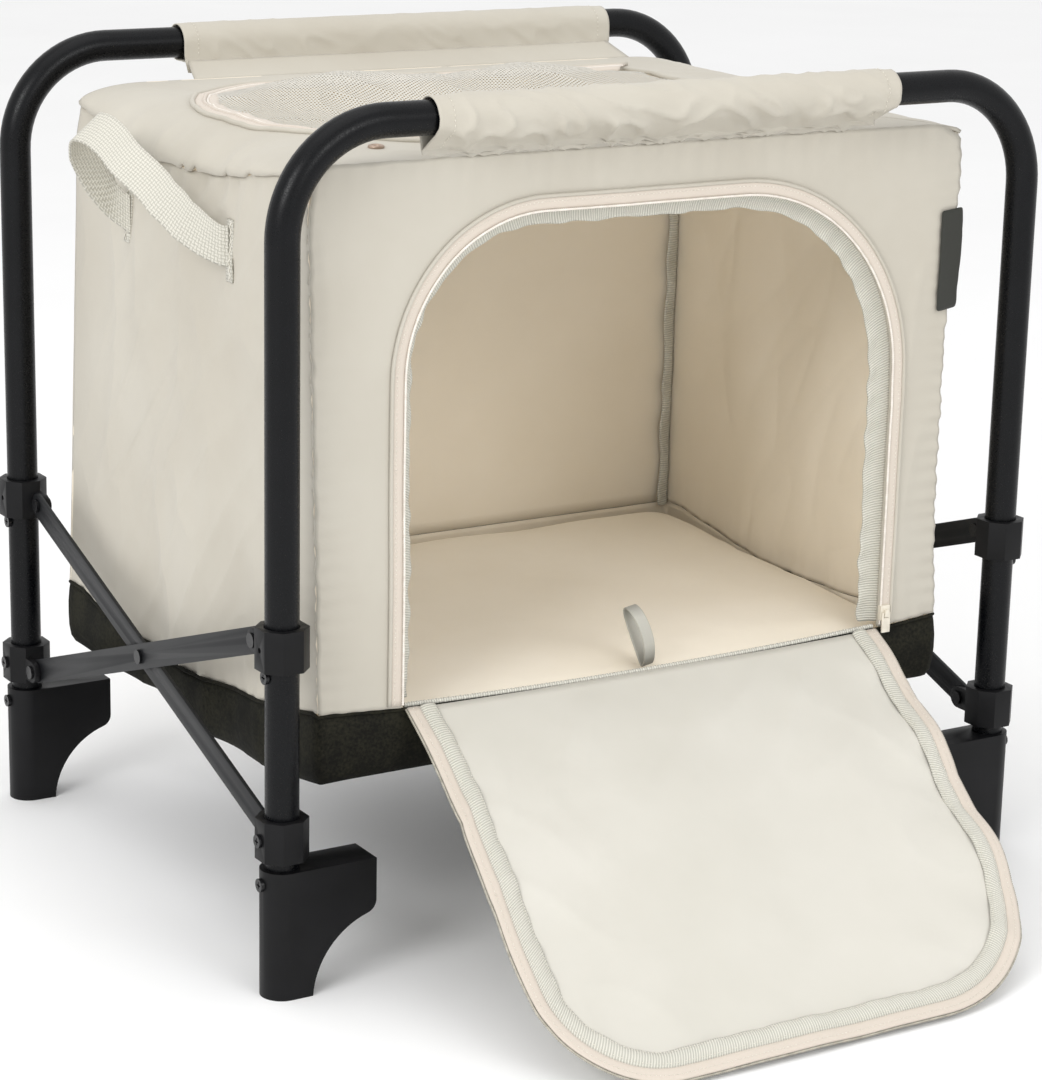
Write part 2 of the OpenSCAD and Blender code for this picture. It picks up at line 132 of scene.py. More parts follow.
def patch(name, rows, material, uv_rows=None, closed=False):
    """A sheet through rows of points."""
    points = [p for row in rows for p in row]
    uvs = [(u * MM, v * MM) for row in uv_rows for u, v in row] if uv_rows else None
    return mesh_object(name, points, grid_faces(len(rows), len(rows[0]), closed), material, uvs)


def apply_modifiers(obj):
    graph = bpy.context.evaluated_depsgraph_get()
    done = bpy.data.meshes.new_from_object(obj.evaluated_get(graph))
    obj.modifiers.clear()
    obj.data = done
    return obj


def thicken(obj, thickness, offset=-1.0, levels=0, back=None):
    """Gives a sheet its thickness, and smooths it; back is the material of the side its normals leave."""
    if levels:
        smooth = obj.modifiers.new("smooth", "SUBSURF")
        smooth.levels = levels
        smooth.render_levels = levels
    solid = obj.modifiers.new("thickness", "SOLIDIFY")
    solid.thickness = thickness * MM
    solid.offset = offset
    if back:
        obj.data.materials.append(back)
        solid.material_offset = 1
    return apply_modifiers(obj)


def resample(line, count):
    """A polyline's points, spaced evenly along it."""
    gaps = [(b - a).length for a, b in zip(line, line[1:])]
    total = sum(gaps)
    result = []
    i = 0
    gone = 0
    for k in range(count):
        goal = total * k / (count - 1)
        while i < len(gaps) - 1 and gone + gaps[i] < goal:
            gone += gaps[i]
            i += 1
        share = (goal - gone) / gaps[i] if gaps[i] else 0
        result.append(line[i].lerp(line[i + 1], min(max(share, 0), 1)))
    return result


def arc(centre_x, centre_y, radius, start, end, steps=24):
    angles = [math.radians(start + (end - start) * i / steps) for i in range(steps + 1)]
    return [Vector((centre_x + radius * math.cos(a), centre_y + radius * math.sin(a))) for a in angles]


def wobble(p, size, seed=0.0):
    """Smooth repeatable noise from -1 to 1."""
    return noise.noise(Vector((p[0] / size + seed, p[1] / size - seed, p[2] / size + 2 * seed)))


def ridge(p, size, seed=0.0, power=4):
    """Narrow smooth ridges where the noise crosses zero, from 0 to 1."""
    return (1 - min(abs(wobble(p, size, seed)) * 1.6, 1)) ** power


def pucker(run, distance, pitch=13.0, reach=15.0):
    """Small ridges square to a seam, which die out away from it; from -1 to 1."""
    strength = 0.55 + 0.45 * wobble((run, 0, 0), 55, 41)
    beat = run * 2 * math.pi / pitch + 2.2 * wobble((run, 0, 0), 35, 43)
    return strength * math.sin(beat) * math.exp(-distance / reach)


def mix(a, b, share):
    return a + (b - a) * share


def smooth_step(low, high, value):
    share = min(max((value - low) / (high - low), 0), 1)
    return share * share * (3 - 2 * share)


def tube(name, line, radius, material, sides=8, closed=False):
    """A round cord along a line of points; radius may be a function of the point's number."""
    points = []
    uvs = []
    count = len(line)
    side = Vector((0, 0, 1))
    run = 0
    for i, p in enumerate(line):
        before = line[(i - 1) % count if closed else max(i - 1, 0)]
        after = line[(i + 1) % count if closed else min(i + 1, count - 1)]
        ahead = (after - before).normalized()
        side = side - ahead * side.dot(ahead)
        if side.length < 1e-4:
            side = ahead.orthogonal()
        side.normalize()
        other = ahead.cross(side)
        r = radius(i) if callable(radius) else radius
        run += (p - line[i - 1]).length if i else 0
        for k in range(sides):
            turn = 2 * math.pi * k / sides
            points.append(p + (side * math.cos(turn) + other * math.sin(turn)) * r)
            uvs.append((run * MM, k / sides * 0.01))
    faces = []
    for i in range(count if closed else count - 1):
        j = (i + 1) % count
        for k in range(sides):
            m = (k + 1) % sides
            faces.append((i * sides + k, i * sides + m, j * sides + m, j * sides + k))
    if not closed:
        faces.append(tuple(reversed(range(sides))))
        faces.append(tuple(range((count - 1) * sides, count * sides)))
    return mesh_object(name, points, faces, material, uvs)


def join(name, parts):
    """Joins finished pieces into one object."""
    whole = bmesh.new()
    materials = []
    for part in parts:
        part_mesh = part.data
        first = len(materials)
        materials += list(part_mesh.materials)
        faces_before = len(whole.faces)
        whole.from_mesh(part_mesh)
        whole.faces.ensure_lookup_table()
        for face in whole.faces[faces_before:]:
            face.material_index += first
        bpy.data.objects.remove(part)
    mesh = bpy.data.meshes.new(name)
    whole.to_mesh(mesh)
    whole.free()
    slots = []
    for material in materials:
        if material not in slots:
            slots.append(material)
    for face in mesh.polygons:
        face.material_index = slots.index(materials[face.material_index])
    for material in slots:
        mesh.materials.append(material)
    obj = bpy.data.objects.new(name, mesh)
    bpy.context.scene.collection.objects.link(obj)
    return obj


def stitches(name, line, normals, material, pitch=3.4, length=2.2, width=0.45):
    """A row of thread stitches lying on a surface: each is a small long octahedron."""
    total = sum((b - a).length for a, b in zip(line, line[1:]))
    count = max(int(total / pitch), 2)
    spots = resample(line, 2 * count + 1)
    ups = resample(normals, 2 * count + 1)
    points = []
    faces = []
    for i in range(1, 2 * count, 2):
        ahead = (spots[i + 1] - spots[i - 1]).normalized()
        up = ups[i].normalized()
        side = ahead.cross(up).normalized()
        n = len(points)
        middle = spots[i] + up * width * 0.3
        points += [middle - ahead * length / 2, middle + ahead * length / 2]
        points += [middle + side * width, middle + up * width, middle - side * width, middle - up * width]
        for a, b in ((2, 3), (3, 4), (4, 5), (5, 2)):
            faces.append((n, n + b, n + a))
            faces.append((n + 1, n + a, n + b))
    return mesh_object(name, points, faces, material)


def squash_with_fold(*pieces):
    for piece in pieces:
        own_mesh(piece)


# ---------- materials ----------


def srgb(r, g, b):
    """Linear colour from an eight-bit screen colour."""
    return tuple(((c / 255 + 0.055) / 1.055) ** 2.4 if c > 10 else c / 255 / 12.92 for c in (r, g, b)) + (1,)


class Paint:
    """A principled material with a chain of bumps."""

    def __init__(self, name, roughness, metallic=0.0, coordinates="Object"):
        self.material = bpy.data.materials.new(name)
        self.material.use_nodes = True
        self.tree = self.material.node_tree
        self.shader = self.tree.nodes["Principled BSDF"]
        self.shader.inputs["Roughness"].default_value = roughness
        self.shader.inputs["Metallic"].default_value = metallic
        self.places = self.tree.nodes.new("ShaderNodeTexCoord").outputs[coordinates]
        self.last_bump = None

    def node(self, kind, **values):
        made = self.tree.nodes.new(kind)
        for key, value in values.items():
            if key in made.inputs:
                made.inputs[key].default_value = value
            else:
                setattr(made, key, value)
        return made

    def link(self, a, b):
        self.tree.links.new(a, b)

    def noise(self, scale, detail=3.0, rough=0.55):
        made = self.node("ShaderNodeTexNoise", Scale=scale, Detail=detail, Roughness=rough)
        self.link(self.places, made.inputs["Vector"])
        return made.outputs["Fac"]

    def bands(self, direction, pitch, places=None):
        """Ridges that repeat every pitch millimetres along one coordinate."""
        made = self.node("ShaderNodeTexWave", bands_direction=direction, wave_profile="SIN")
        made.inputs["Scale"].default_value = 0.31416 / (pitch * MM)
        self.link(places or self.places, made.inputs["Vector"])
        return made.outputs["Fac"]

    def math(self, operation, a, b):
        made = self.node("ShaderNodeMath", operation=operation)
        for socket, value in zip(made.inputs, (a, b)):
            if isinstance(value, (int, float)):
                socket.default_value = value
            else:
                self.link(value, socket)
        return made.outputs["Value"]

    def ramp(self, factor, stops):
        made = self.node("ShaderNodeValToRGB")
        elements = made.color_ramp.elements
        while len(elements) < len(stops):
            elements.new(0.5)
        for element, (place, colour) in zip(elements, stops):
            element.position = place
            element.color = colour
        self.link(factor, made.inputs["Fac"])
        return made.outputs["Color"]

    def colour(self, factor, stops):
        self.link(self.ramp(factor, stops), self.shader.inputs["Base Color"])

    def bump(self, height, depth, strength=1.0):
        """Adds relief that is depth millimetres high."""
        made = self.node("ShaderNodeBump", Strength=strength, Distance=depth * MM)
        self.link(height, made.inputs["Height"])
        if self.last_bump:
            self.link(self.last_bump, made.inputs["Normal"])
        self.last_bump = made.outputs["Normal"]
        self.link(self.last_bump, self.shader.inputs["Normal"])

    def sheen(self, weight, roughness):
        self.shader.inputs["Sheen Weight"].default_value = weight
        self.shader.inputs["Sheen Roughness"].default_value = roughness


def powder_coat():
    """Satin black paint with a fine sparkling grain."""
    paint = Paint("powder_coat", 0.3)
    grain = paint.noise(900, 2.0)
    paint.colour(paint.noise(40), [(0.35, srgb(4, 5, 7)), (0.7, srgb(7, 8, 11))])
    paint.shader.inputs["Specular IOR Level"].default_value = 0.2
    paint.link(paint.math("MULTIPLY", grain, 0.66), paint.shader.inputs["Roughness"])
    paint.bump(grain, 0.06, 0.5)
    return paint.material


def brace_paint():
    paint = Paint("brace_paint", 0.42)
    paint.colour(paint.noise(30), [(0.3, srgb(21, 22, 24)), (0.7, srgb(27, 28, 30))])
    paint.shader.inputs["Specular IOR Level"].default_value = 0.25
    paint.bump(paint.noise(700, 2.0), 0.05, 0.3)
    return paint.material


def moulded_plastic():
    """Matte dark grey plastic with a fine mould texture."""
    paint = Paint("moulded_plastic", 0.45)
    paint.colour(paint.noise(25), [(0.3, srgb(12, 12, 13)), (0.7, srgb(18, 18, 20))])
    paint.shader.inputs["Specular IOR Level"].default_value = 0.2
    paint.bump(paint.noise(1400, 2.0), 0.05, 0.6)
    return paint.material


def black_metal():
    paint = Paint("black_metal", 0.26)
    paint.colour(paint.noise(200), [(0.3, srgb(12, 12, 14)), (0.7, srgb(20, 20, 22))])
    paint.shader.inputs["Specular IOR Level"].default_value = 0.35
    paint.bump(paint.noise(500), 0.03, 0.5)
    return paint.material


def plain_cloth(name, light, dark, roughness=0.78, thread=0.55):
    """Fine plain weave with slight colour changes and soft creases."""
    paint = Paint(name, roughness)
    paint.colour(paint.noise(7, 4.0), [(0.3, dark), (0.68, light)])
    over = paint.math("MULTIPLY", paint.bands("X", thread), paint.bands("Z", thread))
    across = paint.math("MULTIPLY", paint.bands("Y", thread), over)
    paint.bump(paint.noise(26, 4.0, 0.6), 0.9, 0.35)
    paint.bump(paint.math("ADD", over, across), 0.05, 0.35)
    paint.sheen(0.12, 0.5)
    return paint.material


def coarse_cloth():
    """Dark olive coarse weave whose threads show as small specks."""
    paint = Paint("base_cloth", 0.82)
    specks = paint.math("MULTIPLY", paint.noise(420, 2.0), paint.noise(24, 3.0))
    paint.colour(specks, [(0.16, srgb(13, 13, 8)), (0.36, srgb(36, 35, 25))])
    over = paint.math("MULTIPLY", paint.bands("X", 1.1), paint.bands("Z", 1.1))
    paint.bump(paint.noise(30, 4.0), 1.4, 0.4)
    paint.bump(over, 0.25, 0.6)
    paint.shader.inputs["Specular IOR Level"].default_value = 0.2
    return paint.material


def woven_tape(name, light, dark, rib=1.3, relief=0.25, cross=0.0):
    """Ribbed tape; its ribs run across it, and u follows its length."""
    paint = Paint(name, 0.72, coordinates="UV")
    ribs = paint.bands("X", rib)
    # The colour follows the ribs' height: darker in the grooves between them, which is painted shade.
    paint.colour(ribs, [(0.1, dark), (0.75, light)])
    if cross:
        ribs = paint.math("MULTIPLY", ribs, paint.bands("Y", cross))
    paint.bump(ribs, relief, 0.8)
    paint.sheen(0.15, 0.5)
    return paint.material


def webbing_weave():
    """Basket weave: blocks of threads that go over and under in turn."""
    paint = Paint("webbing_weave", 0.6, coordinates="UV")
    check = paint.node("ShaderNodeTexChecker", Scale=1 / (2.6 * MM))
    paint.link(paint.places, check.inputs["Vector"])
    over = paint.bands("X", 2.6)
    under = paint.bands("Y", 2.6)
    blend = paint.node("ShaderNodeMix", data_type="FLOAT")
    paint.link(check.outputs["Fac"], blend.inputs[0])
    paint.link(over, blend.inputs[2])
    paint.link(under, blend.inputs[3])
    # The colour follows the weave's height: darker where the threads dip, which is painted shade.
    paint.colour(blend.outputs[0], [(0.05, srgb(178, 175, 163)), (0.6, srgb(212, 209, 198))])
    paint.bump(blend.outputs[0], 0.5, 0.8)
    paint.shader.inputs["Specular IOR Level"].default_value = 0.6
    return paint.material


def speckled(name, roughness, scale, dark, light, metallic=0.0):
    """One colour that varies a little from place to place."""
    paint = Paint(name, roughness, metallic)
    paint.colour(paint.noise(scale), [(0.3, dark), (0.7, light)])
    return paint.material


CREAM = srgb(192, 187, 175)
CREAM_SHADE = srgb(184, 178, 165)

POWDER = powder_coat()
BRACE = brace_paint()
PLASTIC = moulded_plastic()
METAL = black_metal()
CLOTH = plain_cloth("cream_cloth", CREAM, CREAM_SHADE)
# The lining is pale cloth, painted lighter still to make up for the dim light inside the cabin: partly its
# own tone, partly painted light.
LINING_PAINTED_LIGHTER = plain_cloth("cream_lining_painted_lighter", srgb(239, 229, 211), srgb(233, 222, 202))
# The pad and board cloth is pale, painted near white to make up for the dim light inside the cabin: partly
# its own tone, partly painted light.
PAD_CLOTH_PAINTED_LIGHTER = plain_cloth("pad_cloth_painted_lighter", srgb(246, 238, 223), srgb(240, 231, 214))
DOOR_CLOTH = plain_cloth("door_lining", srgb(207, 204, 195), srgb(200, 197, 187))
BASE = coarse_cloth()
ZIP_TAPE = woven_tape("zip_tape", srgb(210, 200, 188), srgb(200, 189, 176), 0.9, 0.08)
RIBBON = woven_tape("ribbon", srgb(216, 214, 203), srgb(184, 182, 171), 2.1, 0.6)
ELASTIC = woven_tape("elastic", srgb(186, 184, 174), srgb(150, 148, 139), 60.0, 0.02, 2.0)
WEBBING = webbing_weave()
THREAD = speckled("thread", 0.7, 300, srgb(214, 209, 196), srgb(234, 230, 219))
COIL = speckled("zip_coil", 0.45, 200, srgb(224, 216, 205), srgb(242, 236, 228))
DARK_COIL = speckled("zip_coil_shaded", 0.5, 200, srgb(150, 145, 132), srgb(186, 180, 166))
ENAMEL = speckled("cream_enamel", 0.35, 150, srgb(214, 206, 190), srgb(228, 221, 206), 0.1)
RING = speckled("eyelet_ring", 0.4, 150, srgb(150, 128, 112), srgb(188, 168, 152), 0.5)
TAG_CLOTH = woven_tape("tag_cloth", srgb(42, 43, 36), srgb(30, 31, 25), 0.8, 0.1)
NET = plain_cloth("netting", srgb(204, 201, 192), srgb(192, 189, 179), 0.7, 0.4)

# ---------- frame pieces ----------


def bevelled(node, width, material, body, segments=2):
    """A CAD node's copy with rounded edges, which stands for it."""
    obj = bpy.data.objects.new(node + "_bevelled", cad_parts[node].data.copy())
    bpy.context.scene.collection.objects.link(obj)
    shape = bmesh.new()
    shape.from_mesh(obj.data)
    bmesh.ops.remove_doubles(shape, verts=shape.verts, dist=0.01 * MM)
    bmesh.ops.dissolve_limit(shape, angle_limit=math.radians(1.5), verts=shape.verts, edges=shape.edges)
    shape.to_mesh(obj.data)
    shape.free()
    edge = obj.modifiers.new("edge", "BEVEL")
    edge.width = width * MM
    edge.segments = segments
    edge.limit_method = "ANGLE"
    edge.angle_limit = math.radians(32)
    edge.use_clamp_overlap = True
    apply_modifiers(obj)
    obj.data.materials.clear()
    obj.data.materials.append(material)
    obj.data.polygons.foreach_set("use_smooth", [True] * len(obj.data.polygons))
    obj.data.set_sharp_from_angle(angle=math.radians(40))
    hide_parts(node)
    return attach(obj, body)


def paint_node(node, material):
    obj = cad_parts[node]
    obj.data.materials.clear()
    obj.data.materials.append(material)
    obj.data.polygons.foreach_set("use_smooth", [True] * len(obj.data.polygons))
    obj.data.set_sharp_from_angle(angle=math.radians(35))


def dress_frame():
    for end in ("front", "rear"):
        body = end + "_frame"
        paint_node(end + "_hoop", POWDER)
        paint_node(end + "_frame_screws", METAL)
        paint_node(end + "_pivot_rivets", METAL)
        for side in ("left", "right"):
            bevelled(f"{end}_{side}_foot", 1.6, PLASTIC, body, 3)
            bevelled(f"{end}_{side}_lower_collar", 1.0, PLASTIC, body)
            upper = f"{end}_{side}_upper_collar"
            bevelled(upper, 1.0, PLASTIC, upper)
            paint_node(f"{end}_{side}_upper_rivet", METAL)
    for side in ("left", "right"):
        paint_node(side + "_centre_rivet", METAL)
        for layer in ("outer", "inner"):
            bar = f"{side}_{layer}_brace"
            bevelled(bar, 0.5, BRACE, bar)


# ---------- cabin surfaces ----------

# height of the seam between each side wall and the roof, and of the dark band's seam
LEFT_SEAM_DIP = 22
RIGHT_SEAM_DIP = 14


def depth_share(y):
    """0 at the cabin's front face, 1 at its back."""
    return min(max((y - FACE_Y) / DEPTH, 0), 1)


def height_share(z):
    """0 at the dark band, 1 at the roof."""
    return min(max((z - BAND_Z) / (ROOF_Z - BAND_Z), 0), 1)


def half_width(side, y, z):
    """Distance of a side wall from the middle."""
    t = depth_share(y)
    h = height_share(z)
    if side == LEFT:
        front = 287 + 10 * h
        rear = 304 - 14 * h
    else:
        front = 277 - 7 * math.sin(math.pi * min(h * 1.1, 1))
        rear = 292 + 1.5 * h
    bulge = 5 * math.sin(math.pi * t) * math.sin(math.pi * h)
    crease = 4.6 * wobble((0, y, z * 0.3), 70, side) + 2.6 * ridge((0, y, z * 0.5), 76, 3 + side, 3)
    crease += 1.8 * ridge((0, y + z * 0.8, z * 0.3), 58, 9 + side, 5)
    crease *= 1.4 if side == LEFT else 1.0
    edge = math.sin(math.pi * t) ** 0.5 if 0 < t < 1 else 0
    return mix(front, rear, t) + bulge + crease * edge


def seam_height(side, y):
    """The seam between a wall and the roof sags between the hoops."""
    t = depth_share(y)
    dip = LEFT_SEAM_DIP if side == LEFT else RIGHT_SEAM_DIP
    return mix(595, 592, t) - dip * math.sin(math.pi * t) ** 1.3 + 2.6 * wobble((0, y, 0), 24, side)


def roof_height(x, y):
    """The roof rises to the back and rolls over at its sides."""
    t = depth_share(y)
    top = mix(ROOF_Z - 1, ROOF_Z + 6, t) + 3 * math.sin(math.pi * t)
    side = LEFT if x < 0 else RIGHT
    wall = half_width(side, y, ROOF_Z)
    start = 0.80 * wall
    share = min(max((abs(x) - start) / (wall - start), 0), 1)
    drop = top - seam_height(side, y)
    roll = 1 - math.sqrt(max(1 - share * share, 0))
    crease = 2.2 * wobble((x, y, 0), 64, 7) + 1.8 * ridge((x + 0.5 * y, y, 0), 58, 9) - 0.8
    edge = 1.5 * pucker(y, max(wall - abs(x), 0), 31, 18) * smooth_step(0, 6, wall - abs(x))
    return top - drop * roll + (crease * (1 - share) + edge) * math.sin(math.pi * min(max(t, 0), 1)) ** 0.5


def band_height(side, y):
    """Top of the dark band along a side wall."""
    t = depth_share(y)
    return mix(203, 198, t) - 19 * math.sin(math.pi * min(t * 1.08, 1)) ** 0.8


def sill_height(x):
    """The sill sags a little between the arch's feet, and the band rises at the corners."""
    share = min(abs(x) / ARCH_HALF, 1.25)
    return HINGE_Z - 3.5 + 4.5 * share * share + 1.5 * smooth_step(220, 280, abs(x))


def top_front(x):
    """Upper edge of the front panel, with its rounded corners."""
    right = half_width(RIGHT, FACE_Y, ROOF_Z)
    left = half_width(LEFT, FACE_Y, ROOF_Z)
    corner = max(smooth_step(right - 26, right, x), smooth_step(left - 14, left, -x))
    return ROOF_Z - 1 - 4.5 * corner + 1.0 * wobble((x, 0, 0), 22, 5)


def wall_edge_x(side, y, z):
    """X of a side wall's outer face, drawn in at the roof's rounded corners."""
    seam = seam_height(side, y)
    corner = smooth_step(seam - 26, seam, z)
    below = max(seam - z, 0)
    gather = 2.4 * pucker(y, below, 31, 20) + 0.9 * pucker(y, below, 12, 9)
    foot = 0.9 * pucker(y + 40, max(z - band_height(side, y), 0), 17, 16)
    front = 1.3 * pucker(z, max(y - FACE_Y, 0), 14, 14)
    return side * (half_width(side, y, z) - 3.5 * corner + gather * smooth_step(0, 4, below) + foot + front)


def front_face(x, z):
    """Y of the front panel's outer face: nearly flat, with soft swells beside the arch."""
    swell = 2.0 * wobble((x, 0, z * 0.6), 105, 4) + 0.9 * ridge((x, 0, z * 0.4), 60, 6)
    to_top = smooth_step(560, ROOF_Z, z)
    from_left = max(x + half_width(LEFT, FACE_Y, z), 0)
    from_right = max(half_width(RIGHT, FACE_Y, z) - x, 0)
    edges = pucker(z, from_left) + pucker(z, from_right)
    top_edge = 1.4 * pucker(x, max(top_front(x) - z, 0), 19, 14)
    foot = 0.7 * pucker(x, max(z - sill_height(x), 0), 16, 14)
    return FACE_Y - 1.0 - swell * (1 - to_top) - 1.5 * edges - top_edge - foot


# ---------- outlines ----------


def arch_line(inset, count, foot=0.0):
    """Points (x, height above the band) along the arch, from its left foot to its right one."""
    half = ARCH_HALF - inset
    top = ARCH_TOP - inset
    left_r = ARCH_LEFT_R - inset
    right_r = ARCH_RIGHT_R - inset
    line = [Vector((-half, foot))]
    line += arc(-half + left_r, top - left_r, left_r, 180, 90)
    line += arc(half - right_r, top - right_r, right_r, 90, 0)
    line.append(Vector((half, foot)))
    return resample(line, count)


def window_line(inset, count, open_end=False):
    """The roof window's outline from its right front corner round the left end to the right rear one."""
    right = WINDOW_SHIFT + WINDOW_HALF_X - (0 if open_end else inset)
    left = WINDOW_SHIFT - WINDOW_HALF_X + inset
    half = WINDOW_HALF_Y - inset
    r = WINDOW_R - inset
    line = [Vector((right, MID_Y - half))]
    line += arc(left + r, MID_Y - half + r, r, 270, 180)
    line += arc(left + r, MID_Y + half - r, r, 180, 90)
    line.append(Vector((right, MID_Y + half)))
    return resample(line, count)


# ---------- front panel ----------


def on_front(x, z, lift=0.0):
    return Vector((x, front_face(x, z) - lift, z))


def front_panel():
    """A U-shaped strip of cloth from the arch out to the panel's edge."""
    count = 420
    steps = 22
    inner = [Vector((p.x, p.y + BAND_Z)) for p in arch_line(0, count)]
    inner[0].y = sill_height(-ARCH_HALF)
    inner[-1].y = sill_height(ARCH_HALF)
    left = -half_width(LEFT, FACE_Y, BAND_Z)
    right = half_width(RIGHT, FACE_Y, BAND_Z)
    outer = [Vector((left, sill_height(left)))]
    outer += [Vector((wall_edge_x(LEFT, FACE_Y, z), z)) for z in range(230, 580, 10)]
    outer += [Vector((x, top_front(x))) for x in range(-290, 266, 10)]
    outer += [Vector((wall_edge_x(RIGHT, FACE_Y, z), z)) for z in range(590, 220, -10)]
    outer.append(Vector((right, sill_height(right))))
    outer = resample(outer, count)
    rows = []
    flat = []
    for i in range(steps + 1):
        row = [a.lerp(b, i / steps) for a, b in zip(inner, outer)]
        flat.append([(p.x, p.y) for p in row])
        rows.append([on_front(p.x, p.y) for p in row])
    obj = thicken(patch("front_panel_cloth", rows, CLOTH, flat), WALL_T - 1, -1.0, back=LINING_PAINTED_LIGHTER)
    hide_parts("front_panel")
    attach(obj, "front_frame")
    return obj


# ---------- side walls, back and roof ----------


def side_wall(side):
    count_y = 124
    count_z = 104
    rows = []
    flat = []
    for i in range(count_z + 1):
        row = []
        for j in range(count_y + 1):
            y = mix(FACE_Y + 1, BACK_Y - 1, j / count_y)
            z = mix(band_height(side, y), seam_height(side, y), i / count_z)
            row.append(Vector((wall_edge_x(side, y, z), y, z)))
        rows.append(row)
        flat.append([(p.y, p.z) for p in row])
    name = "left" if side == LEFT else "right"
    # the grid's normals point to +X: into the cabin on the left, out of it on the right
    if side == LEFT:
        obj = thicken(patch(name + "_wall_cloth", rows, LINING_PAINTED_LIGHTER, flat), WALL_T - 1, 1.0, back=CLOTH)
    else:
        obj = thicken(patch(name + "_wall_cloth", rows, CLOTH, flat), WALL_T - 1, -1.0, back=LINING_PAINTED_LIGHTER)
    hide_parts(name + "_wall")
    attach(obj, "rear_frame")
    squash_with_fold(obj)
    return obj


def back_panel():
    count_x = 60
    count_z = 40
    rows = []
    for i in range(count_z + 1):
        row = []
        for j in range(count_x + 1):
            share = j / count_x
            h = i / count_z
            left = wall_edge_x(LEFT, BACK_Y, mix(BAND_Z, ROOF_Z, h))
            right = wall_edge_x(RIGHT, BACK_Y, mix(BAND_Z, ROOF_Z, h))
            x = mix(left, right, share)
            z = mix(198, roof_height(x, BACK_Y), h)
            swell = 3 * math.sin(math.pi * share) * math.sin(math.pi * h) + 1.6 * wobble((x, 0, z), 80, 11)
            row.append(Vector((x, BACK_Y + swell * math.sin(math.pi * h), z)))
        rows.append(row)
    flat = [[(p.x, p.z) for p in row] for row in rows]
    obj = thicken(patch("back_panel_cloth", rows, LINING_PAINTED_LIGHTER, flat), WALL_T - 1, 1.0, back=CLOTH)
    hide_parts("back_panel")
    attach(obj, "rear_frame")
    return obj


def roof_edge(count):
    """The roof's outline, in step with window_line: right front corner, left side, right rear corner."""
    line = []
    right = half_width(RIGHT, FACE_Y, ROOF_Z)
    left = half_width(LEFT, FACE_Y, ROOF_Z)
    line += [Vector((mix(right, -left, i / 40), FACE_Y)) for i in range(40)]
    line += [Vector((-half_width(LEFT, y, ROOF_Z), y)) for y in [FACE_Y + DEPTH * i / 40 for i in range(41)]]
    right = half_width(RIGHT, BACK_Y, ROOF_Z)
    left = half_width(LEFT, BACK_Y, ROOF_Z)
    line += [Vector((mix(-left, right, i / 40), BACK_Y)) for i in range(1, 41)]
    return resample(line, count)


def on_roof(x, y, lift=0.0):
    return Vector((x, y, roof_height(x, y) + lift))


def roof():
    """A ring of cloth round the window's zipped sides, and a plain strip beyond the flap's hinge."""
    count = 330
    steps = 26
    inner = window_line(0, count, True)
    outer = roof_edge(count)
    rows = []
    flat = []
    for i in range(steps + 1):
        share = (i / steps) ** 0.8
        row = [a.lerp(b, share) for a, b in zip(inner, outer)]
        rows.append([on_roof(p.x, p.y) for p in row])
        flat.append([(p.x, p.y) for p in row])
    ring = patch("roof_ring", rows, CLOTH, flat)
    # between the ring's two ends, on the right of the window
    strip_rows = []
    strip_flat = []
    for i in range(61):
        row = []
        for j in range(steps + 1):
            share = (j / steps) ** 0.8
            first = inner[0].lerp(outer[0], share)
            last = inner[-1].lerp(outer[-1], share)
            y = mix(first.y, last.y, i / 60)
            edge = half_width(RIGHT, y, ROOF_Z)
            x = mix(WINDOW_SHIFT + WINDOW_HALF_X, edge, share)
            row.append(Vector((x, y)))
        strip_rows.append([on_roof(p.x, p.y) for p in row])
        strip_flat.append([(p.x, p.y) for p in row])
    strip = patch("roof_strip", strip_rows, CLOTH, strip_flat)
    obj = join("roof_cloth", [ring, strip])
    weld(obj, 0.6)
    thicken(obj, WALL_T - 1, -1.0, back=LINING_PAINTED_LIGHTER)
    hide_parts("roof_panel")
    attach(obj, "rear_frame")
    squash_with_fold(obj)
    return obj


def weld(obj, distance):
    shape = bmesh.new()
    shape.from_mesh(obj.data)
    bmesh.ops.remove_doubles(shape, verts=shape.verts, dist=distance * MM)
    bmesh.ops.recalc_face_normals(shape, faces=shape.faces)
    shape.to_mesh(obj.data)
    shape.free()
    obj.data.polygons.foreach_set("use_smooth", [True] * len(obj.data.polygons))


# ---------- base, board and floor pad ----------


def tub_outline(count):
    """Corners and edges of the cabin in plan, walked from the front left corner to the right and round."""
    left = half_width(LEFT, FACE_Y, BAND_Z)
    right = half_width(RIGHT, FACE_Y, BAND_Z)
    sides = [FACE_Y + DEPTH * i / 40 for i in range(41)]
    line = [Vector((mix(-left, right, i / 60), FACE_Y)) for i in range(60)]
    line += [Vector((half_width(RIGHT, y, BAND_Z), y)) for y in sides[:-1]]
    left = half_width(LEFT, BACK_Y, BAND_Z)
    right = half_width(RIGHT, BACK_Y, BAND_Z)
    line += [Vector((mix(right, -left, i / 60), BACK_Y)) for i in range(60)]
    line += [Vector((-half_width(LEFT, y, BAND_Z), y)) for y in reversed(sides)]
    return resample(line, count + 1)[:-1]


def tub_top(p):
    """Height of the band's upper seam at a point of the outline."""
    if p.y < FACE_Y + 2:
        return sill_height(p.x) - 2.2
    if p.y > BACK_Y - 2:
        return 198
    return band_height(LEFT if p.x < 0 else RIGHT, p.y)


def tub_low(p):
    """The base hangs lowest behind its front corners."""
    t = depth_share(p.y)
    sag = 11 if p.x < 0 else 6
    return TUB_LOW + 2 - sag * math.sin(math.pi * min(t * 1.6, 1)) * smooth_step(120, 280, abs(p.x))


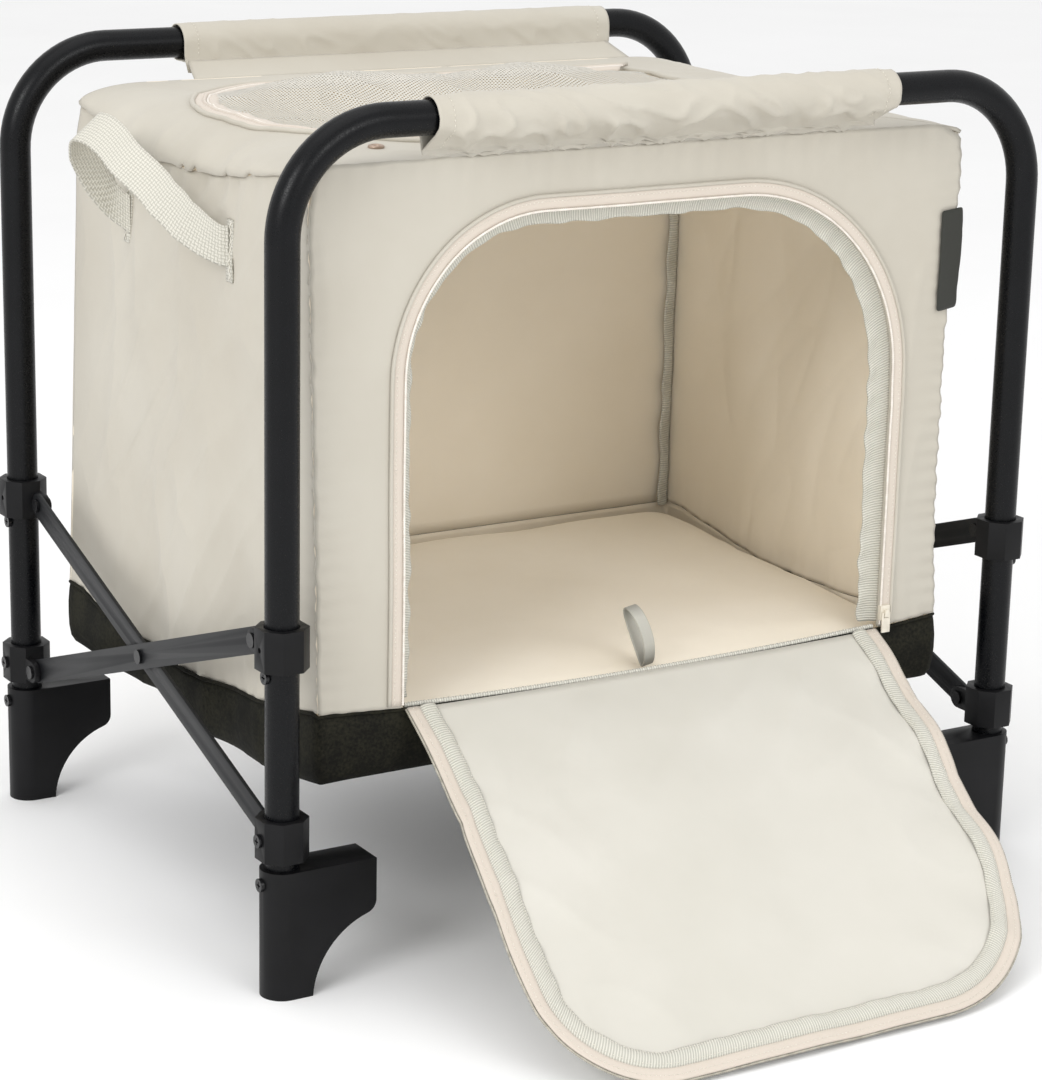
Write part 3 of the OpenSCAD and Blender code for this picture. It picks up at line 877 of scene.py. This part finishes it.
def base_tub():
    count = 260
    outline = tub_outline(count)
    # share of the way down, and how far out the cloth stands there
    profile = [(0, 0.6), (0.1, 1.6), (0.3, 2.8), (0.5, 3.0), (0.7, 2.4), (0.86, 0.6), (0.96, -3), (1.0, -9)]
    middle = Vector((0, MID_Y))
    rows = []
    flat = []
    for down, out in profile:
        row = []
        for p in outline:
            away = p - middle
            away = Vector((away.x / 290, away.y / (DEPTH / 2)))
            heading = Vector((away.x ** 7, away.y ** 7)).normalized()
            z = mix(tub_top(p), tub_low(p), down)
            crease = 1.5 * wobble((p.x, p.y, z * 0.4), 34, 13) * math.sin(math.pi * min(down + 0.1, 1))
            spot = p + heading * (out + crease)
            row.append(Vector((spot.x, spot.y, z)))
        rows.append(row)
        flat.append([(i * 7.5, down * 55) for i in range(count)])
    for share in (0.75, 0.4, 0.1):
        row = [Vector((q.x * share, mix(MID_Y, q.y, share), mix(TUB_LOW, q.z, share))) for q in rows[7]]
        rows.append(row)
        flat.append([(i * 7.5, 60) for i in range(count)])
    points = [q for row in rows for q in row]
    faces = grid_faces(len(rows), count, True)
    faces.append(tuple(range((len(rows) - 1) * count, len(rows) * count)))
    uvs = [(u * MM, v * MM) for row in flat for u, v in row]
    obj = mesh_object("base_tub_cloth", points, faces, BASE, uvs)
    weld(obj, 0.01)
    thicken(obj, WALL_T - 1, -1.0, back=LINING_PAINTED_LIGHTER)
    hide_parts("base_tub")
    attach(obj, "rear_frame")
    seam_line = [Vector((q.x, q.y, q.z + 0.4)) for q in rows[0]]
    seam = tube("base_seam_cord", seam_line, 1.5, BASE, 8, True)
    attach(seam, "rear_frame")
    squash_with_fold(obj, seam)


def inflate(obj, voxel, pressure, cap):
    """Swells a closed cushion as cloth under pressure; no point moves further than cap."""
    remesh = obj.modifiers.new("remesh", "REMESH")
    remesh.mode = "VOXEL"
    remesh.voxel_size = voxel * MM
    apply_modifiers(obj)
    start = [v.co.copy() for v in obj.data.vertices]
    cloth = obj.modifiers.new("cloth", "CLOTH")
    cloth.settings.quality = 5
    cloth.settings.use_pressure = True
    cloth.settings.uniform_pressure_force = pressure
    cloth.settings.effector_weights.gravity = 0
    cloth.collision_settings.use_collision = False
    cloth.point_cache.frame_start = 1
    cloth.point_cache.frame_end = 20
    for step in range(1, 21):
        bpy.context.scene.frame_set(step)
    apply_modifiers(obj)
    bpy.context.scene.frame_set(1)
    for v, old in zip(obj.data.vertices, start):
        moved = v.co - old
        if moved.length > cap * MM:
            v.co = old + moved.normalized() * cap * MM
    smooth = obj.modifiers.new("smooth", "SUBSURF")
    smooth.levels = 1
    smooth.render_levels = 1
    apply_modifiers(obj)
    obj.data.polygons.foreach_set("use_smooth", [True] * len(obj.data.polygons))


def floor_pad():
    """A crowned cushion that fills the tub: rounded at its rim, a little higher at the back."""
    count_x = 72
    count_y = 54
    rows = []
    for half in (1, -1):
        for i in range(count_y + 1):
            row = []
            for j in range(count_x + 1):
                u = 2 * j / count_x - 1
                v = 2 * i / count_y - 1
                y = mix(FACE_Y + 6.5, BACK_Y - 6.5, (v + 1) / 2)
                reach = half_width(LEFT if u < 0 else RIGHT, y, BAND_Z) - 6.5
                full = (max(1 - abs(u) ** 26, 0) * max(1 - abs(v) ** 22, 0)) ** 0.45
                top = mix(13, 22, depth_share(y)) + 2.6 * wobble((u * reach, y, 0), 95, 15)
                height = top * full if half == 1 else -19 * full
                row.append(Vector((u * reach, y, 177 + height)))
            rows.append(row)
    size = (count_y + 1) * (count_x + 1)
    points = [p for row in rows for p in row]
    faces = grid_faces(count_y + 1, count_x + 1)
    faces += [tuple(reversed(f)) for f in grid_faces(count_y + 1, count_x + 1, start=size)]
    obj = mesh_object("floor_pad_cushion", points, faces, PAD_CLOTH_PAINTED_LIGHTER, [(p.x * MM, p.y * MM) for p in points])
    weld(obj, 0.05)
    inflate(obj, 7, 4, 5)
    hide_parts("floor_pad")
    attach(obj, "rear_frame")
    squash_with_fold(obj)


def base_board():
    obj = bevelled("base_board", 1.0, PAD_CLOTH_PAINTED_LIGHTER, "rear_frame")
    squash_with_fold(obj)


# ---------- ribbons along an outline ----------


def ribbon(name, line_at, spot, insets, material, lifts, count=220, frill=0.0):
    """A tape between two insets of an outline; spot() puts a flat point on its surface.

    frill is how far its last edge waves, as a share of the last strip.
    """
    rows = []
    flat = []
    steps = len(insets)
    lines = [line_at(inset, count) for inset in insets]
    if frill:
        waves = [frill * (0.6 * math.sin(i * 0.42) + 2 * wobble((i, 0, 0), 13, 51)) for i in range(count)]
        lines[-1] = [a.lerp(b, w) for a, b, w in zip(lines[-1], lines[-2], waves)]
    run = [0.0]
    for a, b in zip(lines[0], lines[0][1:]):
        run.append(run[-1] + (b - a).length)
    for k in range(steps):
        rows.append([spot(p.x, p.y, lifts(i, k)) for i, p in enumerate(lines[k])])
        flat.append([(run[i], insets[k]) for i in range(count)])
    return patch(name, rows, material, flat)


def coil(name, points, material, pitch=1.7, radius=1.15):
    """A zip coil: a cord with a tooth at every pitch."""
    total = sum((b - a).length for a, b in zip(points, points[1:]))
    line = resample(points, int(total / pitch * 2))
    return tube(name, line, lambda i: radius * (1.0 if i % 2 else 0.62), material, 6)


# ---------- doorway ----------


def doorway_spot(x, height, lift):
    return on_front(x, BAND_Z + height, lift)


def door_frame_line(inset, count):
    return arch_line(inset, count, 2.0)


def doorway_zip():
    def tape_lift(i, k):
        return 0.9 + (0.5 if k in (1, 2) else 0)

    tape = ribbon("doorway_tape", door_frame_line, doorway_spot, (-10, -8, -3, 0.5), ZIP_TAPE, tape_lift)
    thicken(tape, 0.6, 0.0)
    edge = [doorway_spot(p.x, p.y, 1.9) for p in door_frame_line(0.2, 240)]
    teeth = coil("doorway_coil", edge, COIL)
    piping = [doorway_spot(p.x, p.y, 1.6) for p in door_frame_line(-10.5, 200)]
    welt = tube("doorway_welt", piping, 1.5, CLOTH, 8)
    row = [doorway_spot(p.x, p.y, 1.6) for p in door_frame_line(-6.5, 200)]
    sewn = stitches("doorway_stitches", row, [Vector((0, -1, 0))] * 200, THREAD)
    obj = join("doorway_zip_pieces", [tape, teeth, welt, sewn])
    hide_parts("doorway_zip")
    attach(obj, "front_frame")


def doorway_binding():
    """Ribbed tape folded over the arch's inner edge; it puckers along its free side."""
    insets = (-4, 0, 4, 8, 12.5)

    def lean(i, k):
        pucker = math.sin(i * 0.62 + 1.3 * math.sin(i * 0.11)) * (k / 4) ** 2
        return -((6.0, 9.5, 12.0, 12.8, 13.2)[k] + 1.2 * pucker)

    obj = ribbon("doorway_ribbon", door_frame_line, doorway_spot, insets, RIBBON, lean, 420, 0.2)
    thicken(obj, 1.2, 0.0, 1)
    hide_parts("doorway_binding")
    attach(obj, "front_frame")


def sill():
    """The overlocked seam that hinges the door, and the elastic loop on it."""
    line = [Vector((x, HINGE_Y - 0.5, sill_height(x) + 0.6)) for x in range(-216, 217, 3)]
    line = resample(line, 420)
    seam = tube("sill_overlock", line, lambda i: 1.9 + 0.35 * math.sin(i * 1.9), RIBBON, 8)
    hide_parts("sill_seam")
    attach(seam, "front_frame")
    low, high = box_mm("sill_loop")
    base = Vector(((low.x + high.x) / 2, low.y + 6, sill_height(8) - 1))
    rows = []
    flat = []
    count = 40
    for i in range(count + 1):
        turn = 2 * math.pi * i / count
        # a drop: both ends meet at the sill, and the loop is widest near its top
        out = 11.5 * math.sin(turn) * (0.35 + 0.65 * math.sin(turn / 2))
        rise = 24.5 * (1 - math.cos(turn))
        middle = base + Vector((-16 * (rise / 49) ** 1.5, 6 + out, rise))
        row = []
        for k in range(7):
            across = (k / 6 - 0.5) * 12
            row.append(middle + Vector((across, 0.35 * across, 0)))
        rows.append(row)
        flat.append([(i * 3.2, k * 2) for k in range(7)])
    loop = thicken(patch("sill_loop_elastic", rows, ELASTIC, flat), 1.3, 0.0, 1)
    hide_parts("sill_loop")
    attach(loop, "front_frame")


# ---------- door ----------

DOOR_ALONG = Vector((0, -math.cos(DOOR_LEAN), -math.sin(DOOR_LEAN)))
DOOR_UP = Vector((0, -math.sin(DOOR_LEAN), math.cos(DOOR_LEAN)))
# how far the hanging door's free end is pulled to the left at its left edge
DOOR_SKEW = 22
# its lower corners hang squarer than the arch
DOOR_LEFT_R = 84
DOOR_RIGHT_R = 124


def door_line(inset, count):
    half = ARCH_HALF - inset
    tip = DOOR_LENGTH + DOOR_GAP - inset
    left_r = DOOR_LEFT_R + DOOR_GAP - inset
    right_r = DOOR_RIGHT_R + DOOR_GAP - inset
    line = [Vector((-half, DOOR_ROOT))]
    line += arc(-half + left_r, tip - left_r, left_r, 180, 90)
    line += arc(half - right_r, tip - right_r, right_r, 90, 0)
    line.append(Vector((half, DOOR_ROOT)))
    return resample(line, count)


def on_door(x, along, lift=0.0):
    """A point of the open door: x across it, along from the sill, and lift above its middle plane."""
    share = along / DOOR_LENGTH
    root = 1 - smooth_step(0, 60, along)
    skewed = x - mix(DOOR_SKEW, 19, (x + 215) / 430) * smooth_step(0.1, 0.8, share)
    soft = 2.6 * wobble((x, along, 0), 110, 17) + 0.7 * wobble((x, along, 0), 34, 21)
    soft += 4.4 * ridge((x + 0.6 * along, 0.4 * along, 0), 52, 29, 4) * math.exp(-along / 90)
    soft += 1.6 * ridge((x - 0.4 * along, 0.6 * along, 0), 60, 33, 5) * smooth_step(60, 200, abs(x))
    soft *= 1 - root
    ruffle = 4.0 * math.sin(along * 0.062 + 0.6) * smooth_step(140, 212, x) * (1 - root)
    swell = 2.2 * math.sin(math.pi * share) * (1 - (x / 215) ** 2)
    hang = (sill_height(x) - HINGE_Z) * root
    height = lift + soft + ruffle + swell + hang * math.cos(DOOR_LEAN)
    return Vector((skewed, HINGE_Y, HINGE_Z)) + DOOR_ALONG * along + DOOR_UP * max(height, lift - 2.0)


def door():
    count_x = 90
    count_s = 90
    rows = []
    flat = []
    for i in range(count_s + 1):
        along = DOOR_ROOT + (DOOR_LENGTH - DOOR_ROOT - 1) * math.sin(math.pi / 2 * i / count_s)
        edges = []
        for side, r in ((-1, DOOR_LEFT_R), (1, DOOR_RIGHT_R)):
            past = max(along - (DOOR_LENGTH - r), 0)
            edges.append(side * (ARCH_HALF - DOOR_GAP - r + math.sqrt(max(r * r - past * past, 0))))
        row = [(mix(edges[0], edges[1], j / count_x), along) for j in range(count_x + 1)]
        flat.append(row)
        rows.append([on_door(x, a, 1.6) for x, a in row])
    panel = thicken(patch("door_cloth", rows, DOOR_CLOTH, flat), 3.2, 1.0)
    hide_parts("door_panel")
    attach(panel, "door")
    tape = ribbon("door_tape", door_line, on_door, (4.2, 6, 12, 15.5), ZIP_TAPE,
                  lambda i, k: 2.6 + (0.4 if k in (1, 2) else 0))
    thicken(tape, 0.6, 0.0)
    teeth = coil("door_coil", [on_door(p.x, p.y, 1.4) for p in door_line(3.6, 260)], DARK_COIL)
    row = [on_door(p.x, p.y, 3.3) for p in door_line(8.5, 200)]
    sewn = stitches("door_stitches", row, [DOOR_UP] * 200, THREAD)
    zip_pieces = join("door_zip_pieces", [tape, teeth, sewn])
    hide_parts("door_zip")
    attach(zip_pieces, "door")

    def crown(i, k):
        arch = (0, 1.9, 2.6, 1.9, 0)[k]
        ruffle = 0.7 * math.sin(i * 0.23) + 0.6 * math.sin(i * 0.61 + 1)
        return 2.6 + arch + ruffle * (k / 4) ** 2

    edge = ribbon("door_ribbon", door_line, on_door, (14.5, 17, 21, 25, 28), RIBBON, crown, 360)
    thicken(edge, 0.9, 0.0, 1)
    rows = []
    for inset in (16.5, 26):
        line = [on_door(p.x, p.y, 4.9) for p in door_line(inset, 200)]
        rows.append(stitches("door_ribbon_stitches", line, [DOOR_UP] * 200, THREAD, 3.0, 1.9, 0.35))
    edge = join("door_ribbon", [edge] + rows)
    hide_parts("door_binding")
    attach(edge, "door")


# ---------- sleeves ----------


def sleeve(end, bar_y, seam_y, seam_z, hem, rumple, start, finish, strip=None):
    """Cloth folded round a top bar and sewn together below it, with its two edges hem long past the seam.

    rumple is how deep its creases are, and strip is the cloth that carries on from there to the roof's edge.
    """
    tilt = 6
    radius = TUBE_R + 2.0
    seam = Vector((seam_y - bar_y, seam_z - BAR_Z))
    distance = seam.length
    aim = math.degrees(math.atan2(seam.y, seam.x))
    gap = math.degrees(math.acos(radius / distance))
    tail = seam + Vector((-0.25, -1)) * hem
    section = [tail]
    section += [seam.lerp(arc(0, 0, radius, aim + gap, aim + gap, 1)[0], i / 6) for i in range(6)]
    section += arc(0, 0, radius, aim + gap, aim + 360 - gap, 34)
    section += [arc(0, 0, radius, aim - gap, aim - gap, 1)[0].lerp(seam, i / 6) for i in range(1, 7)]
    section.append(tail)
    count = 200
    rows = []
    flat = []
    for i in range(count + 1):
        share = i / count
        row = []
        for k, q in enumerate(section):
            low = max(-q.y - 10, 0) / 40
            x = mix(start, finish, share) + tilt * (1 - 2 * share) * low
            away = q.normalized() if q.length > 0.1 else Vector((0, 1))
            slant = x + 1.5 * q.y
            ridges = 4.8 * ridge((slant, 0.5 * x, k * 3), 30, 19, 3)
            crease = ridges + 1.8 * wobble((slant, 0, 0), 12, 27) - 1.0
            crease *= rumple * (0.25 + 0.75 * smooth_step(12, -14, q.y))
            near_hem = smooth_step(0, 26, min(share, 1 - share) * (finish - start))
            below = smooth_step(radius + 2, 30, q.length)
            push = (0.9 + crease) * (0.35 + 0.65 * near_hem)
            swell = max(push, -1.2 * (1 - below) if q.length < radius + 3 else -2)
            spot = q + away * max(swell, -1.2)
            row.append(Vector((x, bar_y + spot.x, BAR_Z + spot.y + 0.7 * wobble((x, 0, 0), 28, 3) * below)))
        rows.append(row)
        flat.append([(mix(start, finish, share), k * 3.0) for k in range(len(section))])
    pieces = [thicken(patch(end + "_sleeve_loop", rows, CLOTH, flat), 0.9, 0.0)]
    for share in (0.028, 0.972):
        i = round(share * count)
        line = []
        normals = []
        for k in range(4, len(section) - 3):
            q = section[k]
            away = Vector((0, q.x, q.y)).normalized()
            line.append(rows[i][k] + away * 0.6)
            normals.append(away)
        pieces.append(stitches(end + "_sleeve_stitches", line, normals, THREAD, 3.6, 2.4, 0.4))
    if strip:
        pieces.append(strip)
    obj = join(end + "_sleeve_cloth", pieces)
    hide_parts(end + "_sleeve")
    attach(obj, end + "_frame")
    around = sum((b - a).length for a, b in zip(section, section[1:]))
    if strip:
        around += 40
    return obj


def rear_strip(start, finish, seam_y, seam_z):
    """Flat cloth from the rear sleeve's seam down to the roof's rear edge."""
    rows = []
    flat = []
    for i in range(9):
        share = i / 8
        row = []
        for j in range(81):
            x = mix(start, finish, j / 80) - 7 * share * (1 - 2 * j / 80)
            low = roof_height(x, BACK_Y) - 1
            slack = 1.4 * wobble((x, share * 20, 0), 40, 21) * math.sin(math.pi * share)
            y = mix(seam_y, BACK_Y + 1, share) + slack
            row.append(Vector((x, y, mix(seam_z, low, share))))
        rows.append(row)
        flat.append([(p.x, p.z) for p in row])
    return thicken(patch("rear_sleeve_strip", rows, CLOTH, flat), 1.4, 0.0)


def sleeves():
    low, high = box_mm("front_sleeve")
    sleeve("front", FRONT_BAR_Y, FACE_Y - 4, ROOF_Z + 6, 3, 1.0, low.x, high.x)
    low, high = box_mm("rear_sleeve")
    seam_y = REAR_BAR_Y - 15
    seam_z = BAR_Z - 14
    strip = rear_strip(low.x + 3, high.x - 3, seam_y, seam_z)
    sleeve("rear", REAR_BAR_Y, seam_y, seam_z, 9, 0.4, low.x, high.x, strip)


# ---------- roof flap ----------

NET_SAG = 9


def net_height(x, y):
    """The netting sags inside its zip and stands up in one soft fold."""
    u = (x - WINDOW_SHIFT) / WINDOW_HALF_X
    v = (y - MID_Y) / WINDOW_HALF_Y
    inside = max(1 - abs(u) ** 3, 0) * max(1 - abs(v) ** 3, 0)
    rear = math.exp(-((y - MID_Y - 104) / 56) ** 2)
    humps = 14 * math.exp(-((x + 112) / 62) ** 2) + 16 * math.exp(-((x - 60) / 60) ** 2)
    wave = 5 * wobble((x, y, 0), 60, 23) + (humps + 22) * rear
    return roof_height(x, y) + (wave - NET_SAG) * inside - 2.5


def net_spot(x, y, lift=0.0):
    return Vector((x, y, net_height(x, y) + lift))


def in_window(x, y, inset):
    right = WINDOW_SHIFT + WINDOW_HALF_X - inset
    left = WINDOW_SHIFT - WINDOW_HALF_X + inset
    half = WINDOW_HALF_Y - inset
    r = WINDOW_R - inset
    if not left <= x <= right or abs(y - MID_Y) > half:
        return False
    corner = Vector((left + r - x, abs(y - MID_Y) - (half - r)))
    return corner.x < 0 or corner.y < 0 or corner.length < r


def netting():
    """Knitted mesh with rows of six-sided holes, made as real openings."""
    pitch = 2.8
    hole = 0.55
    points = []
    faces = []
    corner_index = {}

    def corner(x, y):
        key = (round(x * 20), round(y * 20))
        if key not in corner_index:
            corner_index[key] = len(points)
            points.append(net_spot(x, y))
        return corner_index[key]

    step_x = pitch * math.sqrt(3) / 2
    columns = int(2 * WINDOW_HALF_X / step_x) + 2
    rows = int(2 * WINDOW_HALF_Y / pitch) + 2
    outer = pitch / math.sqrt(3)
    for i in range(columns):
        for j in range(rows):
            x = WINDOW_SHIFT - WINDOW_HALF_X + i * step_x
            y = MID_Y - WINDOW_HALF_Y + (j + 0.5 * (i % 2)) * pitch
            if not in_window(x, y, 4):
                continue
            ring = []
            rim = []
            for k in range(6):
                a = math.radians(60 * k)
                ring.append(corner(x + outer * math.cos(a), y + outer * math.sin(a)))
                rim.append(len(points))
                points.append(net_spot(x + hole * outer * math.cos(a), y + hole * outer * math.sin(a)))
            for k in range(6):
                m = (k + 1) % 6
                faces.append((ring[k], ring[m], rim[m], rim[k]))
    obj = mesh_object("roof_netting", points, faces, NET)
    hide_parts("roof_mesh")
    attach(obj, "roof_flap")
    squash_with_fold(obj)


def roof_trim():
    """Zip tape and coil on the flap's edge, and the two ridges of tape and piping on the roof round it."""

    def flap_line(inset, count):
        return window_line(inset, count)

    def flap_spot(x, y, lift):
        return Vector((x, y, roof_height(x, y) + lift))

    tape = ribbon("flap_tape", flap_line, flap_spot, (1, 3, 8, 11), ZIP_TAPE,
                  lambda i, k: (0.6, 1.6, 1.2, -1.4)[k])
    thicken(tape, 0.7, 0.0)
    teeth = coil("flap_coil", [flap_spot(p.x, p.y, 1.4) for p in window_line(1.2, 260)], COIL)
    flap = join("flap_zip_pieces", [tape, teeth])
    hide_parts("roof_mesh_binding")
    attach(flap, "roof_flap")

    outer = ribbon("roof_tape", flap_line, flap_spot, (-9, -7.5, -2.5, -1), ZIP_TAPE,
                   lambda i, k: 0.5 + (1.1 if k in (1, 2) else 0))
    thicken(outer, 0.7, 0.0)
    welt = tube("roof_welt", [flap_spot(p.x, p.y, 1.2) for p in window_line(-10.5, 240)], 2.1, CLOTH, 10)
    ridge = tube("roof_ridge", [flap_spot(p.x, p.y, 1.6) for p in window_line(-1.4, 240)], 1.5, ZIP_TAPE, 8)
    trim = join("roof_zip_pieces", [outer, welt, ridge])
    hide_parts("roof_piping")
    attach(trim, "rear_frame")

    low, high = box_mm("roof_eyelet")
    centre = (low + high) / 2
    ring = [Vector((centre.x + 4.6 * math.cos(a), centre.y + 4.6 * math.sin(a), 0))
            for a in [2 * math.pi * i / 28 for i in range(28)]]
    for p in ring:
        p.z = roof_height(centre.x, centre.y) + 0.8
    eyelet = tube("eyelet_ring", ring, 1.5, RING, 10, True)
    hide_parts("roof_eyelet")
    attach(eyelet, "rear_frame")
    squash_with_fold(flap, trim, eyelet)


# ---------- handles ----------


def handle(side):
    """A webbing loop sewn to the wall along two upright seams; it turns as it leaves them, and leans up."""
    name = "left" if side == LEFT else "right"
    low, high = box_mm(name + "_handle")
    centre_y = (low.y + high.y) / 2
    half_span = (high.y - low.y) / 2
    # share of the way back along the strap's span, reach out from the wall and height of its middle
    route = [(0.0, 0, 526), (0.03, 8, 528), (0.12, 20, 538), (0.28, 33, 560),
             (0.48, 43, 584), (0.66, 49, 598), (0.8, 50, 596), (0.93, 42, 580),
             (1.0, 30, 558), (1.02, 15, 536), (1.0, 5, 526), (0.98, 0, 522)]
    knots = [Vector(k) for k in route]
    knots = [knots[0] * 2 - knots[1]] + knots + [knots[-1] * 2 - knots[-2]]
    steps = 7
    lean = math.radians(50)
    rows = []
    flat = []
    run = 0
    last = None
    for i in range(1, len(knots) - 2):
        for j in range(steps + (i == len(knots) - 3)):
            a, b, c, d = knots[i - 1:i + 3]
            t = j / steps
            spot = (b * 2 + (c - a) * t + (a * 2 - b * 5 + c * 4 - d) * t * t
                    + (b * 3 - a - c * 3 + d) * t ** 3) / 2
            y = low.y + 2 * half_span * spot.x
            wall = half_width(side, y, spot.z)
            middle = Vector((side * (wall + 1.6 + spot.y), y, spot.z))
            angle = lean * smooth_step(3, 38, spot.y)
            across = Vector((-side * math.sin(angle), 0, math.cos(angle)))
            if last:
                run += (middle - last).length
            last = middle
            rows.append([middle + across * 15 * (k / 3 - 1) for k in range(7)])
            flat.append([(run, 5 * k) for k in range(7)])
    strap = thicken(patch(name + "_strap", rows, WEBBING, flat), 1.8, 0.0, 1)
    tabs = []
    for end in (-1, 1):
        y = centre_y + end * half_span
        tab = []
        tab_flat = []
        for i in range(9):
            z = mix(500, 546, i / 8)
            wall = half_width(side, y, z)
            tab.append([Vector((side * (wall + 0.9), y + end * (w - 2), z)) for w in (-2, 3, 8)])
            tab_flat.append([(z, w) for w in (-2, 3, 8)])
        tabs.append(thicken(patch(name + "_strap_tab", tab, WEBBING, tab_flat), 1.2, 0.0))
        zigzag = []
        for i in range(14):
            z = mix(502, 544, i / 13)
            wall = half_width(side, y, z)
            zigzag.append(Vector((side * (wall + 1.9), y + end * (1.5 + 3 * (i % 2)), z)))
        tabs.append(tube(name + "_strap_thread", zigzag, 0.45, THREAD, 5))
    obj = join(name + "_handle_webbing", [strap] + tabs)
    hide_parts(name + "_handle")
    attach(obj, "rear_frame")
    squash_with_fold(obj)


# ---------- small pieces ----------


def side_tag():
    """A blank folded tag, sewn in beside the panel's edge."""
    low, high = box_mm("side_tag")
    right = wall_edge_x(RIGHT, FACE_Y, (low.z + high.z) / 2)
    rows = []
    flat = []
    for i in range(15):
        z = mix(low.z, high.z, i / 14)
        row = []
        for k in range(7):
            x = right - 15 + k * 3.3
            y = front_face(right - 12, z) - 2.4 - 1.2 * math.sin(z * 0.06 + k * 0.4) * (k / 6)
            row.append(Vector((x, y, z + 0.4 * k)))
        rows.append(row)
        flat.append([(p.x, p.z) for p in row])
    obj = thicken(patch("blank_side_tag", rows, TAG_CLOTH, flat), 1.1, 0.0, 1)
    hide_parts("side_tag")
    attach(obj, "front_frame")


def zip_hardware():
    bevelled("zip_slider", 0.8, ENAMEL, "zip_slider", 3)
    bevelled("zip_pull", 0.3, ENAMEL, "zip_pull", 2)


def corner_bindings():
    """Ribbed tape that covers the cabin's two inner upright seams at the back."""
    pieces = []
    for side in (LEFT, RIGHT):
        rows = []
        flat = []
        for i in range(111):
            z = mix(196, 590, i / 110)
            x = side * (half_width(side, BACK_Y - 8, z) - WALL_T - 1)
            y = BACK_Y - WALL_T - 2
            wave = 2.6 * math.sin(i * 0.42 + 2 * wobble((0, 0, z), 60, 53)) + 1.5 * wobble((0, 0, z), 22, 55)
            rows.append([
                Vector((x + side * 1, y, z)),
                Vector((x - side * (5 + 0.6 * wave), y - 4, z)),
                Vector((x - side * (11.5 + wave), y - 4 - wave, z))])
            flat.append([(z, 0), (z, 6), (z, 13)])
        pieces.append(thicken(patch("corner_ribbon", rows, RIBBON, flat), 1.2, 0.0, 1))
    obj = join("corner_ribbons", pieces)
    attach(obj, "rear_frame")


# ---------- scene ----------


def lights_and_camera():
    scene = bpy.context.scene
    azimuth = math.radians(-31.527)
    elevation = math.radians(15.47)
    roll = math.radians(1.24)
    forward = Vector((
        -math.sin(azimuth) * math.cos(elevation),
        math.cos(azimuth) * math.cos(elevation),
        -math.sin(elevation)))
    right = Vector((math.cos(azimuth), math.sin(azimuth), 0))
    up = right.cross(forward)
    turned_right = right * math.cos(roll) + up * math.sin(roll)
    turned_up = up * math.cos(roll) - right * math.sin(roll)
    place = Vector((-1286.62, FRONT_BAR_Y - 1886.02, 930.43)) * MM
    matrix = Matrix((turned_right, turned_up, -forward)).transposed().to_4x4()
    matrix.translation = place
    data = bpy.data.cameras.new("camera")
    data.lens = 104.16
    data.clip_end = 100
    camera = bpy.data.objects.new("camera", data)
    camera.matrix_world = matrix
    scene.collection.objects.link(camera)
    scene.camera = camera

    def area(name, place, size, power):
        lamp = bpy.data.lights.new(name, "AREA")
        lamp.shape = "RECTANGLE"
        lamp.size = size[0]
        lamp.size_y = size[1]
        lamp.energy = power
        obj = bpy.data.objects.new(name, lamp)
        obj.location = place
        aim = Vector((0, 0, 0.3)) - Vector(place)
        obj.rotation_euler = aim.to_track_quat("-Z", "Y").to_euler()
        scene.collection.objects.link(obj)

    area("key", (-3.1, -1.5, 2.2), (1.5, 1.3), 48)
    area("fill", (0.3, -2.9, 1.7), (1.5, 1.0), 19)
    area("top", (-0.4, -0.2, 3.0), (2.2, 2.2), 13)
    world = bpy.data.worlds.new("world")
    world.use_nodes = True
    background = world.node_tree.nodes["Background"]
    background.inputs["Color"].default_value = (1, 1, 1, 1)
    background.inputs["Strength"].default_value = 0.95
    scene.world = world
    scene.view_settings.view_transform = "Standard"


def floor():
    paint = Paint("studio_floor", 0.9)
    paint.colour(paint.noise(2), [(0.3, (0.93, 0.93, 0.93, 1)), (0.7, (0.95, 0.95, 0.95, 1))])
    size = 20000
    corners = [(-size, -size, 0), (size, -size, 0), (size, size, 0), (-size, size, 0)]
    obj = mesh_object("studio_floor", corners, [(0, 1, 2, 3)], paint.material)


lights_and_camera()
floor()
dress_frame()
front_panel()
side_wall(LEFT)
side_wall(RIGHT)
back_panel()
roof()
base_tub()
base_board()
floor_pad()
doorway_zip()
doorway_binding()
sill()
door()
sleeves()
netting()
roof_trim()
handle(LEFT)
handle(RIGHT)
side_tag()
zip_hardware()
corner_bindings()
